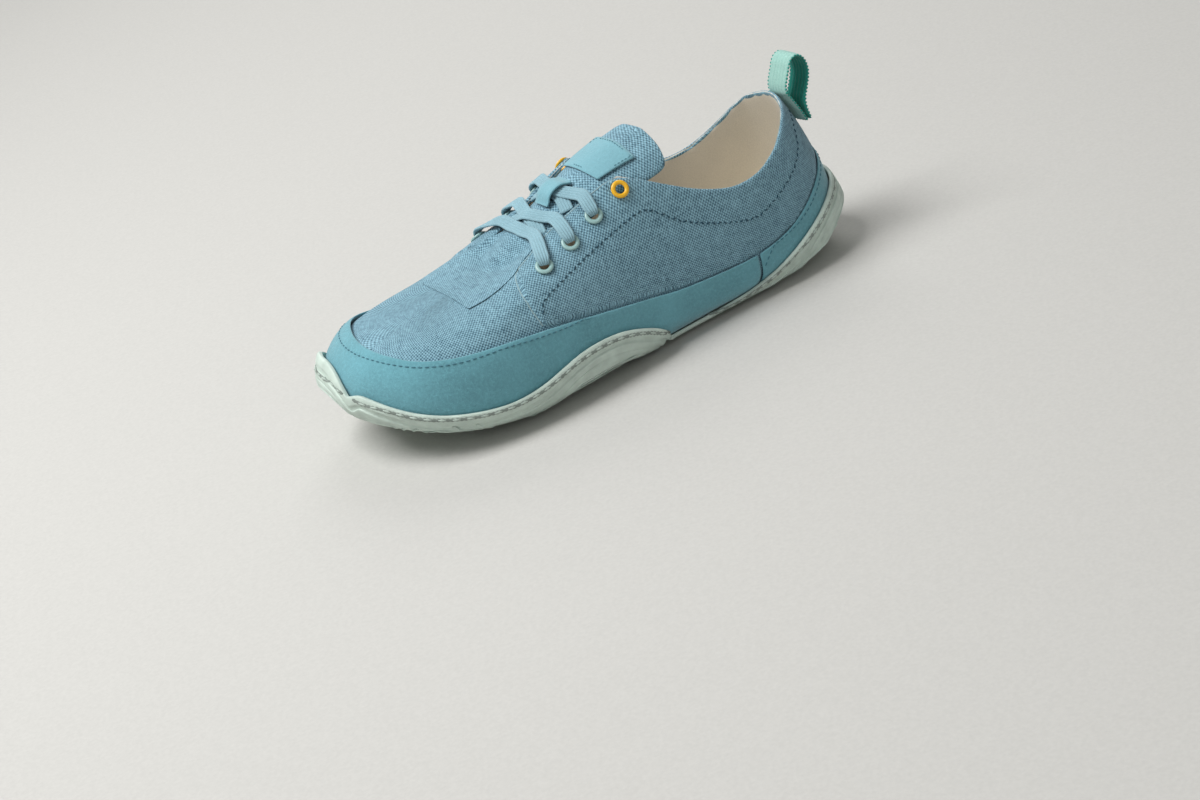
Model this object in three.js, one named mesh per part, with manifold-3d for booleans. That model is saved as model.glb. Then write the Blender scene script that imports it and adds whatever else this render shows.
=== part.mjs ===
// A left barefoot shoe: canvas derby with a suede band, a split rubber outsole and a flat lace.
// Millimetres. +X runs from heel to toe, +Y to the outer (lateral) side and +Z up from the floor.
import * as THREE from "three";
import { mergeVertices } from "three/addons/utils/BufferGeometryUtils.js";
import Module from "manifold-3d";

const wasm = await Module();
wasm.setup();

// Driving sizes
const INSIDE_LENGTH = 260;
const INSIDE_BALL_WIDTH = 92;
const HEEL_HEIGHT = 71;
const TOE_SPRING = 19;
const EDGE_ROUND = 9;

// Layers from the foot outwards
const FIT_GAP = 0.3;
const SHELL_GAP = 0.45;
const UPPER_WALL = 1.5;
const QUARTER_STEP = 0.9;
const BAND_THICKNESS = 1.3;
const INSOLE_THICKNESS = 3;
const INLAY_THICKNESS = 1;
const RUBBER_BOTTOM = 4;
const RUBBER_SIDE = 2.3;
const HEEL_FLARE = 2.4;

// Trim sizes
const TONGUE_THICKNESS = 2.4;
const TONGUE_GAP = 1;
const LABEL_THICKNESS = 1;
const KEEPER_WIDTH = 12;
const KEEPER_THICKNESS = 1;
const LACE_WIDTH = 6;
const LACE_THICKNESS = 1.5;
const EYELET_HOLE_RADIUS = 2.1;
const EYELET_FLANGE_RADIUS = 4.1;
const EYELET_FLANGE = 0.8;
const EYELET_WALL = 0.5;
const EYELET_ROUNDING = 0.35;
const LOOP_WIDTH = 14;
const LOOP_THICKNESS = 1.3;
const LOOP_HEIGHT = 14;
const LOOP_DEPTH = 13;

// Cuts in the rubber
const SLOT_WIDTH = 3;
const GROOVE_WIDTH = 1.8;
const GROOVE_DEPTH = 1.2;
const LIP_HEIGHT = 2.4;
const CHANNEL_HEIGHT = 1.5;
const CHANNEL_DEPTH = 0.7;
const RIB_PITCH = 2.6;
const RIB_DEPTH = 0.4;

// Levels of the last: -1 at the spine of the foot bed, EDGE_LEVEL where the bottom starts to turn up,
// 0 at the widest line and 1 at the top line.
const EDGE_LEVEL = -0.2;
const BAND_INNER = UPPER_WALL + SHELL_GAP;
const BED_HEIGHT = RUBBER_BOTTOM + BAND_INNER;
const BAND_OUTER = BAND_INNER + BAND_THICKNESS;
const RUBBER_INNER = BAND_OUTER + SHELL_GAP;
const RUBBER_OUTER = RUBBER_INNER + RUBBER_SIDE;
const SOLE_LENGTH = INSIDE_LENGTH + 2 * RUBBER_OUTER;

// Widest line of the last. `at` is the angle round the shoe: 0 at the heel, 180 at the toe. The outer and
// inner columns are shares of the ball width, on the lateral and the medial side.
const OUTLINE = [
  { at: 0, outer: 0.022, inner: 0.022 },
  { at: 15, outer: 0.175, inner: -0.135 },
  { at: 30, outer: 0.295, inner: -0.27 },
  { at: 45, outer: 0.36, inner: -0.325 },
  { at: 60, outer: 0.395, inner: -0.33 },
  { at: 75, outer: 0.41, inner: -0.31 },
  { at: 90, outer: 0.444, inner: -0.335 },
  { at: 105, outer: 0.488, inner: -0.42 },
  { at: 120, outer: 0.51, inner: -0.478 },
  { at: 135, outer: 0.474, inner: -0.484 },
  { at: 150, outer: 0.345, inner: -0.44 },
  { at: 165, outer: 0.146, inner: -0.32 },
  { at: 180, outer: -0.098, inner: -0.098 },
];

// Top line: collar, facing edges and the bottom of the throat. x is a share of the inside length, y of the
// ball width and z of the heel height.
const TOP_LINE = [
  { at: 0, x: 0.062, outer: 0.022, inner: 0.022, high: 1.003, highInner: 1.003 },
  { at: 15, x: 0.067, outer: 0.098, inner: -0.054, high: 0.993, highInner: 0.993 },
  { at: 30, x: 0.085, outer: 0.201, inner: -0.15, high: 0.954, highInner: 0.961 },
  { at: 45, x: 0.135, outer: 0.293, inner: -0.239, high: 0.785, highInner: 0.799 },
  { at: 60, x: 0.226, outer: 0.34, inner: -0.283, high: 0.665, highInner: 0.7 },
  { at: 75, x: 0.347, outer: 0.308, inner: -0.283, high: 0.827, highInner: 0.848 },
  { at: 90, x: 0.441, outer: 0.223, inner: -0.212, high: 1.038, highInner: 1.052 },
  { at: 105, x: 0.512, outer: 0.179, inner: -0.179, high: 0.946, highInner: 0.954 },
  { at: 120, x: 0.595, outer: 0.155, inner: -0.168, high: 0.83, highInner: 0.845 },
  { at: 135, x: 0.657, outer: 0.141, inner: -0.168, high: 0.735, highInner: 0.745 },
  { at: 150, x: 0.678, outer: 0.103, inner: -0.12, high: 0.707, highInner: 0.721 },
  { at: 165, x: 0.686, outer: 0.054, inner: -0.06, high: 0.696, highInner: 0.7 },
  { at: 180, x: 0.688, outer: 0, inner: 0, high: 0.693, highInner: 0.693 },
];

// How a profile climbs from the widest line to the top line: `wall` is the share of the height that a steep
// side takes, `turn` how sharply it bends over and `lag` how late it leans in.
const PROFILE = [
  { at: 0, wall: 0, turn: 3, lag: 1.9 },
  { at: 45, wall: 0, turn: 3, lag: 1.6 },
  { at: 75, wall: 0.05, turn: 3, lag: 1.5 },
  { at: 90, wall: 0.18, turn: 4, lag: 1.4 },
  { at: 120, wall: 0.42, turn: 5, lag: 1.6 },
  { at: 150, wall: 0.56, turn: 5, lag: 1.75 },
  { at: 180, wall: 0.62, turn: 5, lag: 1.75 },
];

// Lift of the bottom off the floor as a share of the toe spring, and the size of the rounded lower edge,
// inwards and upwards, as shares of EDGE_ROUND.
const BOTTOM = [
  { at: 0, lift: 0.2, liftInner: 0.2, inset: 1, insetInner: 1, rise: 0.9, riseInner: 0.9 },
  { at: 20, lift: 0.1, liftInner: 0.1, inset: 1, insetInner: 1, rise: 0.9, riseInner: 0.9 },
  { at: 32, lift: 0.03, liftInner: 0.03, inset: 1, insetInner: 1, rise: 0.95, riseInner: 0.95 },
  { at: 42, lift: 0, liftInner: 0, inset: 1, insetInner: 1, rise: 0.95, riseInner: 0.95 },
  { at: 60, lift: 0, liftInner: 0, inset: 1, insetInner: 1.5, rise: 1, riseInner: 1.3 },
  { at: 75, lift: 0, liftInner: 0.2, inset: 1, insetInner: 2.5, rise: 1, riseInner: 2 },
  { at: 90, lift: 0, liftInner: 0.26, inset: 1.05, insetInner: 2.7, rise: 1, riseInner: 2.1 },
  { at: 101, lift: 0, liftInner: 0, inset: 1.1, insetInner: 1.8, rise: 1, riseInner: 1.5 },
  { at: 113, lift: 0, liftInner: 0, inset: 1.1, insetInner: 1.1, rise: 1, riseInner: 1 },
  { at: 120, lift: 0.07, liftInner: 0.07, inset: 1.1, insetInner: 1, rise: 1, riseInner: 0.95 },
  { at: 135, lift: 0.3, liftInner: 0.3, inset: 1.05, insetInner: 1, rise: 0.95, riseInner: 0.9 },
  { at: 150, lift: 0.56, liftInner: 0.56, inset: 1, insetInner: 1, rise: 0.9, riseInner: 0.9 },
  { at: 165, lift: 0.78, liftInner: 0.78, inset: 1, insetInner: 1, rise: 0.9, riseInner: 0.9 },
  { at: 180, lift: 0.87, liftInner: 0.87, inset: 1, insetInner: 1, rise: 0.9, riseInner: 0.9 },
];

// Level of the rubber's rim and of the suede band's upper edge.
const RIM = [
  { at: 0, level: 0.25 },
  { at: 20, level: 0.24 },
  { at: 35, level: 0.15 },
  { at: 48, level: 0.02 },
  { at: 58, level: -0.08 },
  { at: 70, level: -0.12 },
  { at: 82, level: -0.13 },
  { at: 84.5, level: -0.11 },
  { at: 86.5, level: -0.04 },
  { at: 90, level: 0.01 },
  { at: 96, level: 0.055 },
  { at: 103, level: 0.078 },
  { at: 109, level: 0.068 },
  { at: 115, level: 0.03 },
  { at: 122, level: -0.02 },
  { at: 140, level: -0.02 },
  { at: 159, level: 0.025 },
  { at: 167, level: 0.06 },
  { at: 171, level: 0.03 },
  { at: 175, level: 0.12 },
  { at: 182, level: 0.17 },
  { at: 195, level: 0.16 },
  { at: 210, level: 0.06 },
  { at: 225, level: 0 },
  { at: 240, level: -0.06 },
  { at: 255, level: -0.14 },
  { at: 266, level: -0.22 },
  { at: 280, level: -0.24 },
  { at: 295, level: -0.19 },
  { at: 305, level: -0.1 },
  { at: 315, level: 0.02 },
  { at: 327, level: 0.15 },
  { at: 342, level: 0.24 },
];
const BAND_TOP = [
  { at: 0, level: 0.48 },
  { at: 20, level: 0.44 },
  { at: 35, level: 0.33 },
  { at: 48, level: 0.21 },
  { at: 60, level: 0.16 },
  { at: 85, level: 0.14 },
  { at: 100, level: 0.18 },
  { at: 115, level: 0.245 },
  { at: 130, level: 0.282 },
  { at: 150, level: 0.292 },
  { at: 170, level: 0.345 },
  { at: 195, level: 0.415 },
  { at: 215, level: 0.35 },
  { at: 240, level: 0.26 },
  { at: 265, level: 0.16 },
  { at: 290, level: 0.14 },
  { at: 312, level: 0.22 },
  { at: 325, level: 0.33 },
  { at: 340, level: 0.44 },
];

const clamp = (value, low = 0, high = 1) => Math.min(high, Math.max(low, value));
const mix = (a, b, share) => a + (b - a) * share;
const ease = (value) => clamp(value) ** 2 * (3 - 2 * clamp(value));
const UP = new THREE.Vector3(0, 0, 1);
const WHOLE_TURN = 360;
const radians = (degrees) => (degrees * Math.PI) / 180;
const wrap = (degrees) => ((degrees % WHOLE_TURN) + WHOLE_TURN) % WHOLE_TURN;

// A curve's slope at a row is held to this many times the gentler of its two spans.
const STEEPEST = 2.6;

// A smooth closed curve through rows of a table, by angle: cubic pieces whose slopes never overshoot.
function closedCurve(rows) {
  const count = rows.length;
  const at = (i) => rows[((i % count) + count) % count].at + WHOLE_TURN * Math.floor(i / count);
  const value = (i) => rows[((i % count) + count) % count].value;
  const slope = (i) => (value(i + 1) - value(i)) / (at(i + 1) - at(i));
  const tangent = (i) => {
    const before = slope(i - 1);
    const after = slope(i);
    if (before * after <= 0) return 0;
    const wide = at(i + 1) - at(i);
    const narrow = at(i) - at(i - 1);
    const even = (before * wide + after * narrow) / (wide + narrow);
    const limit = STEEPEST * Math.min(Math.abs(before), Math.abs(after));
    return Math.sign(even) * Math.min(Math.abs(even), limit);
  };
  return (degrees) => {
    const angle = wrap(degrees - at(0)) + at(0);
    let i = 0;
    while (i < count - 1 && at(i + 1) <= angle) i += 1;
    const span = at(i + 1) - at(i);
    const t = (angle - at(i)) / span;
    const fromHere = value(i) * (1 + 2 * t) * (1 - t) ** 2 + tangent(i) * span * t * (1 - t) ** 2;
    const fromNext = value(i + 1) * t * t * (3 - 2 * t) + tangent(i + 1) * span * t * t * (t - 1);
    return fromHere + fromNext;
  };
}

// Reads one column for the lateral half and one for the medial half of a table that runs from 0 to 180.
function bothSides(table, outer, inner = outer) {
  const lateral = table.map((row) => ({ at: row.at, value: row[outer] }));
  const medial = table
    .slice(1, -1)
    .reverse()
    .map((row) => ({ at: WHOLE_TURN - row.at, value: row[inner] }));
  return closedCurve([...lateral, ...medial]);
}

const allRound = (table) => closedCurve(table.map((row) => ({ at: row.at, value: row.level })));

const widestY = bothSides(OUTLINE, "outer", "inner");
const topX = bothSides(TOP_LINE, "x");
const topY = bothSides(TOP_LINE, "outer", "inner");
const topZ = bothSides(TOP_LINE, "high", "highInner");
const wallShare = bothSides(PROFILE, "wall");
const turnPower = bothSides(PROFILE, "turn");
const lagPower = bothSides(PROFILE, "lag");
const lift = bothSides(BOTTOM, "lift", "liftInner");
const edgeInset = bothSides(BOTTOM, "inset", "insetInner");
const edgeRise = bothSides(BOTTOM, "rise", "riseInner");
const rimLevel = allRound(RIM);
const bandTop = allRound(BAND_TOP);

// The last: one surface from the spine of the foot bed, round the lower edge and up to the top line.
const alongX = (angle) => RUBBER_OUTER + (INSIDE_LENGTH * (1 - Math.cos(radians(angle)))) / 2;
const angleAt = (x) =>
  (Math.acos(clamp(1 - (2 * (x - RUBBER_OUTER)) / INSIDE_LENGTH, -1, 1)) * 180) / Math.PI;

const SPINE_SHARE = 0.62;

function spineAt(angle) {
  const y = (INSIDE_BALL_WIDTH * (widestY(angle) + widestY(-angle))) / 2;
  const high = BED_HEIGHT + (TOE_SPRING * (lift(angle) + lift(-angle))) / 2;
  return new THREE.Vector3(alongX(angle), y, high);
}

const spinePoint = (angle) => spineAt(angleAt(mix(alongX(90), alongX(angle), SPINE_SHARE)));

function widestPoint(angle) {
  const high = BED_HEIGHT + TOE_SPRING * lift(angle) + EDGE_ROUND * edgeRise(angle);
  return new THREE.Vector3(alongX(angle), INSIDE_BALL_WIDTH * widestY(angle), high);
}

function topPoint(angle) {
  return new THREE.Vector3(
    RUBBER_OUTER + INSIDE_LENGTH * topX(angle),
    INSIDE_BALL_WIDTH * topY(angle),
    BED_HEIGHT + HEEL_HEIGHT * topZ(angle),
  );
}

function lastPoint(angle, level) {
  const widest = widestPoint(angle);
  if (level > 0) {
    const top = topPoint(angle);
    const wall = wallShare(angle);
    const climb = wall * (1 - (1 - clamp(level)) ** turnPower(angle)) + (1 - wall) * level;
    const lean = level ** lagPower(angle);
    return new THREE.Vector3(
      mix(widest.x, top.x, lean),
      mix(widest.y, top.y, lean),
      mix(widest.z, top.z, climb),
    );
  }
  const spine = spinePoint(angle);
  const inwards = new THREE.Vector3(spine.x - widest.x, spine.y - widest.y, 0).normalize();
  const inset = EDGE_ROUND * edgeInset(angle);
  const rise = EDGE_ROUND * edgeRise(angle);
  const turned = radians(90 * clamp((level - EDGE_LEVEL) / -EDGE_LEVEL));
  const edge = widest.clone().addScaledVector(inwards, inset * (1 - Math.sin(turned)));
  edge.z = widest.z - rise * Math.cos(turned);
  if (level >= EDGE_LEVEL) return edge;
  const out = (level + 1) / (EDGE_LEVEL + 1);
  return new THREE.Vector3(
    mix(spine.x, edge.x, out),
    mix(spine.y, edge.y, out),
    mix(spine.z, edge.z, out * out),
  );
}

// Outward normal of the last, from small steps each way. Under FLOOR_LEVEL the last is flat.
const FLOOR_LEVEL = -0.6;
const ANGLE_STEP = 0.4;
const LEVEL_STEP = 0.01;

function lastNormal(angle, level) {
  if (level < FLOOR_LEVEL) return new THREE.Vector3(0, 0, -1);
  const round = lastPoint(angle + ANGLE_STEP, level).sub(lastPoint(angle - ANGLE_STEP, level));
  const above = lastPoint(angle, Math.min(1, level + LEVEL_STEP));
  const up = above.sub(lastPoint(angle, level - LEVEL_STEP));
  return up.cross(round).normalize();
}

const offLast = (angle, level, distance) =>
  lastPoint(angle, level).addScaledVector(lastNormal(angle, level), distance);

// Level that lies a given length down the profile from a starting level.
const LOWEST_LEVEL = -0.98;
const WALK_STEP = 0.004;

function levelBelow(angle, start, length) {
  let level = start;
  let walked = 0;
  let here = lastPoint(angle, level);
  while (walked < length && level > LOWEST_LEVEL) {
    level -= WALK_STEP;
    const next = lastPoint(angle, level);
    walked += next.distanceTo(here);
    here = next;
  }
  return level;
}

// A solid that also closes across the middle: each section runs from the spine round the edge and back to
// the spine, and meets the section of the opposite side there.
function closedOverSpine(angles, section) {
  const loops = angles.map(section);
  const size = loops[0].length;
  const index = [];
  const id = (a, p) => (a % loops.length) * size + p;
  for (let a = 0; a < loops.length; a += 1)
    for (let p = 0; p < size - 1; p += 1) {
      index.push(id(a, p), id(a, p + 1), id(a + 1, p + 1));
      index.push(id(a, p), id(a + 1, p + 1), id(a + 1, p));
    }
  return solidOf(loops.flat(), index);
}

// A flat strip along a path of { point, normal } stations. A station's `share` narrows the strip there.
function stripSolid(stations, width, thickness) {
  const loops = stations.map(({ point, normal, share = 1 }, i) => {
    const before = stations[Math.max(0, i - 1)].point;
    const after = stations[Math.min(stations.length - 1, i + 1)].point;
    const along = after.clone().sub(before).normalize();
    const across = normal.clone().cross(along).normalize();
    const out = along.clone().cross(across).normalize();
    const corner = (side, face) =>
      point
        .clone()
        .addScaledVector(across, (side * share * width) / 2)
        .addScaledVector(out, (face * thickness) / 2);
    return [corner(-1, -1), corner(1, -1), corner(1, 1), corner(-1, 1)];
  });
  const index = [];
  const last = loops.length - 1;
  for (let a = 0; a < last; a += 1)
    for (let p = 0; p < 4; p += 1) {
      const q = (p + 1) % 4;
      index.push(4 * a + p, 4 * a + q, 4 * a + 4 + q, 4 * a + p, 4 * a + 4 + q, 4 * a + 4 + p);
    }
  index.push(0, 2, 1, 0, 3, 2);
  index.push(4 * last, 4 * last + 1, 4 * last + 2, 4 * last, 4 * last + 2, 4 * last + 3);
  return solidOf(loops.flat(), index);
}

// A patch between loops of two facing halves, capped at its first and last loop.
function sweptSolid(loops, closed) {
  const size = loops[0].length;
  const half = size / 2;
  const index = [];
  const id = (a, p) => (a % loops.length) * size + (p % size);
  for (let a = 0; a < loops.length - (closed ? 0 : 1); a += 1)
    for (let p = 0; p < size; p += 1) {
      index.push(id(a, p), id(a, p + 1), id(a + 1, p + 1));
      index.push(id(a, p), id(a + 1, p + 1), id(a + 1, p));
    }
  const last = loops.length - 1;
  for (let p = 0; !closed && p < half - 1; p += 1) {
    const far = size - 1 - p;
    index.push(id(0, p), id(0, far), id(0, p + 1), id(0, p + 1), id(0, far), id(0, far - 1));
    index.push(id(last, p), id(last, p + 1), id(last, far));
    index.push(id(last, p + 1), id(last, far - 1), id(last, far));
  }
  return solidOf(loops.flat(), index);
}

function solidOf(points, index) {
  const geometry = new THREE.BufferGeometry();
  const positions = points.flatMap((p) => [p.x, p.y, p.z]);
  geometry.setAttribute("position", new THREE.Float32BufferAttribute(positions, 3));
  geometry.setIndex(index);
  return toManifold(geometry);
}

// A closed geometry as a solid with its faces pointing out.
function toManifold(geometry) {
  const bare = new THREE.BufferGeometry();
  bare.setAttribute("position", geometry.getAttribute("position").clone());
  if (geometry.index) bare.setIndex(geometry.index.clone());
  const merged = mergeVertices(bare, 1e-3);
  const corners = merged.index.array;
  const triVerts = [];
  for (let i = 0; i < corners.length; i += 3) {
    const [a, b, c] = corners.slice(i, i + 3);
    if (a !== b && b !== c && c !== a) triVerts.push(a, b, c);
  }
  const vertProperties = new Float32Array(merged.getAttribute("position").array);
  const build = (order) =>
    new wasm.Manifold(new wasm.Mesh({ numProp: 3, vertProperties, triVerts: new Uint32Array(order) }));
  const solid = build(triVerts);
  return solid.volume() > 0 ? solid : build(triVerts.toReversed());
}

function toGeometry(solid) {
  const mesh = solid.getMesh();
  const positions = new Float32Array(mesh.numVert * 3);
  for (let i = 0; i < mesh.numVert; i += 1)
    positions.set(mesh.vertProperties.subarray(i * mesh.numProp, i * mesh.numProp + 3), i * 3);
  const geometry = new THREE.BufferGeometry();
  geometry.setAttribute("position", new THREE.BufferAttribute(positions, 3));
  geometry.setIndex(new THREE.BufferAttribute(mesh.triVerts, 1));
  geometry.computeVertexNormals();
  return geometry;
}

// Joining two curved walls can leave a speck beside the body.
const largest = (solid) => solid.decompose().sort((a, b) => b.volume() - a.volume())[0];

// Rows and columns that all shells share, so that the gaps between them stay even.
const ROWS = [-1, -0.7, -0.45, -0.3, -0.2, -0.15, -0.1, -0.05, 0, 0.14, 0.3, 0.5, 0.75, 1];
const COLUMN_STEP = 9;
const COLUMNS = Array.from({ length: 360 / COLUMN_STEP }, (_, i) => COLUMN_STEP * i);
const rowsBetween = (low, high) => ROWS.map((level) => clamp(level, low, high));

// A place between two shared columns lies on the chord between them, as it does on the neighbouring shells.
function onShell(angle, level, distance) {
  const before = Math.floor(angle / COLUMN_STEP) * COLUMN_STEP;
  const next = offLast(before + COLUMN_STEP, level, distance);
  return offLast(before, level, distance).lerp(next, (angle - before) / COLUMN_STEP);
}

const onBothSides = (angles) => angles.flatMap((angle) => [angle, WHOLE_TURN - angle]);
const columnsBetween = (from, to) => {
  const around = [...COLUMNS.map((angle) => angle - WHOLE_TURN), ...COLUMNS];
  return [from, ...around.filter((angle) => angle > from + 1 && angle < to - 1), to];
};

const between = (from, to, count) =>
  Array.from({ length: count }, (_, i) => from + ((to - from) * i) / (count - 1));

// Upper: one hollow solid, open along the collar and throat and underneath. The quarters are a thicker part
// of its wall, which starts above the band and ends at the quarters' front edges.
const UPPER_LOW = -0.3;
const UPPER_HIGH = 0.996;
const INNER_ROWS = [1, 0.8, 0.5, 0.14, -0.05, -0.1, -0.15, -0.2, UPPER_LOW];
const QUARTER_OUTER = UPPER_WALL + QUARTER_STEP;
const QUARTER_FRONT = 130;
const QUARTER_SLANT = -21;
const QUARTER_START = 0.016;

// The quarter's columns lean towards its slanted front edge, over LEAN_REACH degrees.
const LEAN_REACH = 45;

function leaning(angle, level) {
  const nearness = clamp(1 - (QUARTER_FRONT - Math.abs(angle)) / LEAN_REACH);
  return angle + Math.sign(angle) * QUARTER_SLANT * (1 - level) * nearness;
}

function vampSolid() {
  const section = (angle) => [
    ...rowsBetween(UPPER_LOW, UPPER_HIGH).map((level) => offLast(angle, level, UPPER_WALL)),
    ...INNER_ROWS.map((level) => offLast(angle, Math.min(level, UPPER_HIGH), 0)),
  ];
  return sweptSolid(COLUMNS.map(section), true);
}

function quarterSolid() {
  const section = (angle) => {
    const seam = bandTop(leaning(angle, bandTop(angle)));
    const levels = between(seam + QUARTER_START, 1, 6);
    return [
      ...levels.map((level) => offLast(leaning(angle, level), level, QUARTER_OUTER)),
      ...levels.toReversed().map((level) => offLast(leaning(angle, level), level, UPPER_WALL / 2)),
    ];
  };
  return sweptSolid(columnsBetween(-QUARTER_FRONT, QUARTER_FRONT).map(section), false);
}

function upperSolid() {
  const shell = largest(vampSolid().add(quarterSolid()));
  return eyeletSeats().reduce((solid, seat) => solid.subtract(eyeletHole(seat)), shell);
}

// Eyelets: four on each facing
const EYELETS = [
  { at: 90.1, level: 0.893 },
  { at: 99.7, level: 0.814 },
  { at: 107.8, level: 0.734 },
  { at: 115.6, level: 0.688 },
];
const EYELET_SIDES = 10;

function eyeletSeat({ at, level }, side) {
  const centre = offLast(side * at, level, QUARTER_OUTER);
  return { side, at, centre, normal: lastNormal(side * at, level) };
}

const eyeletSeats = () => EYELETS.flatMap((row) => [eyeletSeat(row, 1), eyeletSeat(row, -1)]);

function standOn(geometry, seat) {
  const turn = new THREE.Quaternion().setFromUnitVectors(new THREE.Vector3(0, 1, 0), seat.normal);
  return geometry.applyQuaternion(turn).translate(seat.centre.x, seat.centre.y, seat.centre.z);
}

function eyeletHole(seat) {
  const radius = EYELET_HOLE_RADIUS + EYELET_WALL + FIT_GAP;
  const reach = 4 * QUARTER_OUTER;
  return toManifold(standOn(new THREE.CylinderGeometry(radius, radius, reach, EYELET_SIDES), seat));
}

function eyeletSolid(seat) {
  const barrel = EYELET_HOLE_RADIUS + EYELET_WALL;
  const foot = -QUARTER_OUTER;
  const under = 2 * FIT_GAP;
  const top = under + EYELET_FLANGE;
  const profile = [
    new THREE.Vector2(EYELET_HOLE_RADIUS, foot),
    new THREE.Vector2(barrel, foot),
    new THREE.Vector2(barrel, under),
    new THREE.Vector2(EYELET_FLANGE_RADIUS, under),
    new THREE.Vector2(mix(EYELET_FLANGE_RADIUS, barrel, EYELET_ROUNDING), top),
    new THREE.Vector2(barrel, top),
    new THREE.Vector2(EYELET_HOLE_RADIUS, under),
    new THREE.Vector2(EYELET_HOLE_RADIUS, foot),
  ];
  return toManifold(standOn(new THREE.LatheGeometry(profile, EYELET_SIDES), seat));
}

// Suede band: a front piece round the toe and a heel piece, meeting at an upright seam on each side.
const SEAM_OUTER = 59;
const SEAM_INNER = 301;
const SEAM_HALF_ANGLE = 0.15;
const BAND_LOW = -0.28;

function bandSolid(from, to) {
  const section = (angle) => {
    const levels = rowsBetween(BAND_LOW, bandTop(angle));
    return [
      ...levels.map((level) => onShell(angle, level, BAND_OUTER)),
      ...levels.toReversed().map((level) => onShell(angle, level, BAND_INNER)),
    ];
  };
  return sweptSolid(columnsBetween(from + SEAM_HALF_ANGLE, to - SEAM_HALF_ANGLE).map(section), false);
}

// Foot bed, and the layer under it that shows through the slot of the sole
const INSOLE_UNDER = [-1, -0.7, -0.45, -0.3, -0.2, -0.15];
const INSOLE_OVER = [-0.15, -0.45, -1];
const INLAY_UNDER = [-1, -0.7, -0.45, UPPER_LOW - 0.02];

function bedSolid(under, below, over, above) {
  const section = (angle) => [
    ...under.map((level) => offLast(angle, level, below)),
    ...over.map((level) => offLast(angle, level, above)),
  ];
  return closedOverSpine(COLUMNS, section);
}

const insoleSolid = () => bedSolid(INSOLE_UNDER, -SHELL_GAP, INSOLE_OVER, -SHELL_GAP - INSOLE_THICKNESS);
const inlaySolid = () => bedSolid(INLAY_UNDER, INLAY_THICKNESS, INLAY_UNDER.toReversed(), 0);

// Outsole: a rubber cup with a lip, a stitched channel and ribs round its side, a wing on the outer side,
// and underneath a slot with a hole and grooves that split the toe and the heel.
const RUBBER_EXTRA = [76.5, 84, 87, 94.5, 167, 173.5];

// Bottom lines in shares of the sole length and the ball width, from the rear or from the toe's middle.
const SLOT = [
  { x: 0.33, y: 0.62 },
  { x: 0.46, y: 0.42 },
  { x: 0.6, y: 0.27 },
  { x: 0.745, y: 0.13 },
];
const HOLE = [
  { x: 0.72, y: 0.14 },
  { x: 0.752, y: 0.12 },
  { x: 0.782, y: 0.185 },
  { x: 0.82, y: 0.04 },
  { x: 0.8, y: -0.04 },
  { x: 0.772, y: 0.02 },
];
const OUTER_TOE_GROOVE = [
  { x: 0.752, y: 0.66 },
  { x: 0.762, y: 0.42 },
  { x: 0.79, y: 0.25 },
  { x: 0.82, y: 0.12 },
  { x: 0.9, y: 0.06 },
  { x: 1.03, y: 0.02 },
];
const INNER_TOE_GROOVE = [
  { x: 0.8, y: -0.03 },
  { x: 0.812, y: -0.12 },
  { x: 0.8, y: -0.34 },
  { x: 0.812, y: -0.62 },
];
const HEEL_GROOVE = [
  { x: -0.03, y: 0.06 },
  { x: 0.08, y: 0.1 },
  { x: 0.26, y: 0.18 },
  { x: 0.36, y: 0.18 },
  { x: 0.44, y: 0.13 },
];

const onSole = ({ x, y }) => new THREE.Vector2(x * SOLE_LENGTH, y * INSIDE_BALL_WIDTH);

// Height of the rubber's bottom face over a place in plan.
function soleBottom(place) {
  const over = angleAt(place.x);
  const spine = spineAt(over);
  const outer = place.y > spine.y ? over : -over;
  const width = INSIDE_BALL_WIDTH * widestY(outer) - spine.y;
  const share = clamp((place.y - spine.y) / width);
  return TOE_SPRING * mix((lift(over) + lift(-over)) / 2, lift(outer), share * share);
}

// A cutter that follows a line on the bottom, `depth` deep.
function lineCutter(line, width, depth, count) {
  const curve = new THREE.SplineCurve(line.map(onSole));
  const stations = curve.getSpacedPoints(count).map((place) => {
    const high = soleBottom(place);
    return { point: new THREE.Vector3(place.x, place.y, high + (depth - 3) / 2), normal: UP };
  });
  return stripSolid(stations, width, depth + 3);
}

function holeCutter() {
  const shape = new THREE.Shape(HOLE.map(onSole));
  const depth = BED_HEIGHT + TOE_SPRING;
  return toManifold(new THREE.ExtrudeGeometry(shape, { depth, bevelEnabled: false }));
}

// How far the rubber's outer face stands in from its full thickness, by distance below the rim: a rounded
// rim, a lip, the channel for the stitches and the ribs under it.
const RIM_ROUND = 0.7;
const RIM_BACK = 0.9;
const LIP_BACK = 0.2;
const CHANNEL_TOP_SLOPE = 0.3;
const CHANNEL_FOOT_SLOPE = 0.4;
const RIBS = 2;
const RIB_TOP_SLOPE = 0.7;
const RIB_FOOT_SLOPE = 0.5;

function sideSteps() {
  const channelTop = RIM_ROUND + LIP_HEIGHT;
  const channelFoot = channelTop + CHANNEL_HEIGHT;
  const steps = [
    { down: 0, back: RIM_BACK },
    { down: RIM_ROUND, back: LIP_BACK },
    { down: channelTop, back: LIP_BACK },
    { down: channelTop + CHANNEL_TOP_SLOPE, back: CHANNEL_DEPTH },
    { down: channelFoot, back: CHANNEL_DEPTH },
    { down: channelFoot + CHANNEL_FOOT_SLOPE, back: 0 },
  ];
  for (let rib = 1; rib <= RIBS; rib += 1) {
    const down = channelFoot + CHANNEL_FOOT_SLOPE + rib * RIB_PITCH;
    steps.push({ down: down - RIB_TOP_SLOPE, back: 0 });
    steps.push({ down, back: RIB_DEPTH });
    steps.push({ down: down + RIB_FOOT_SLOPE, back: 0 });
  }
  return steps;
}

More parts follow.
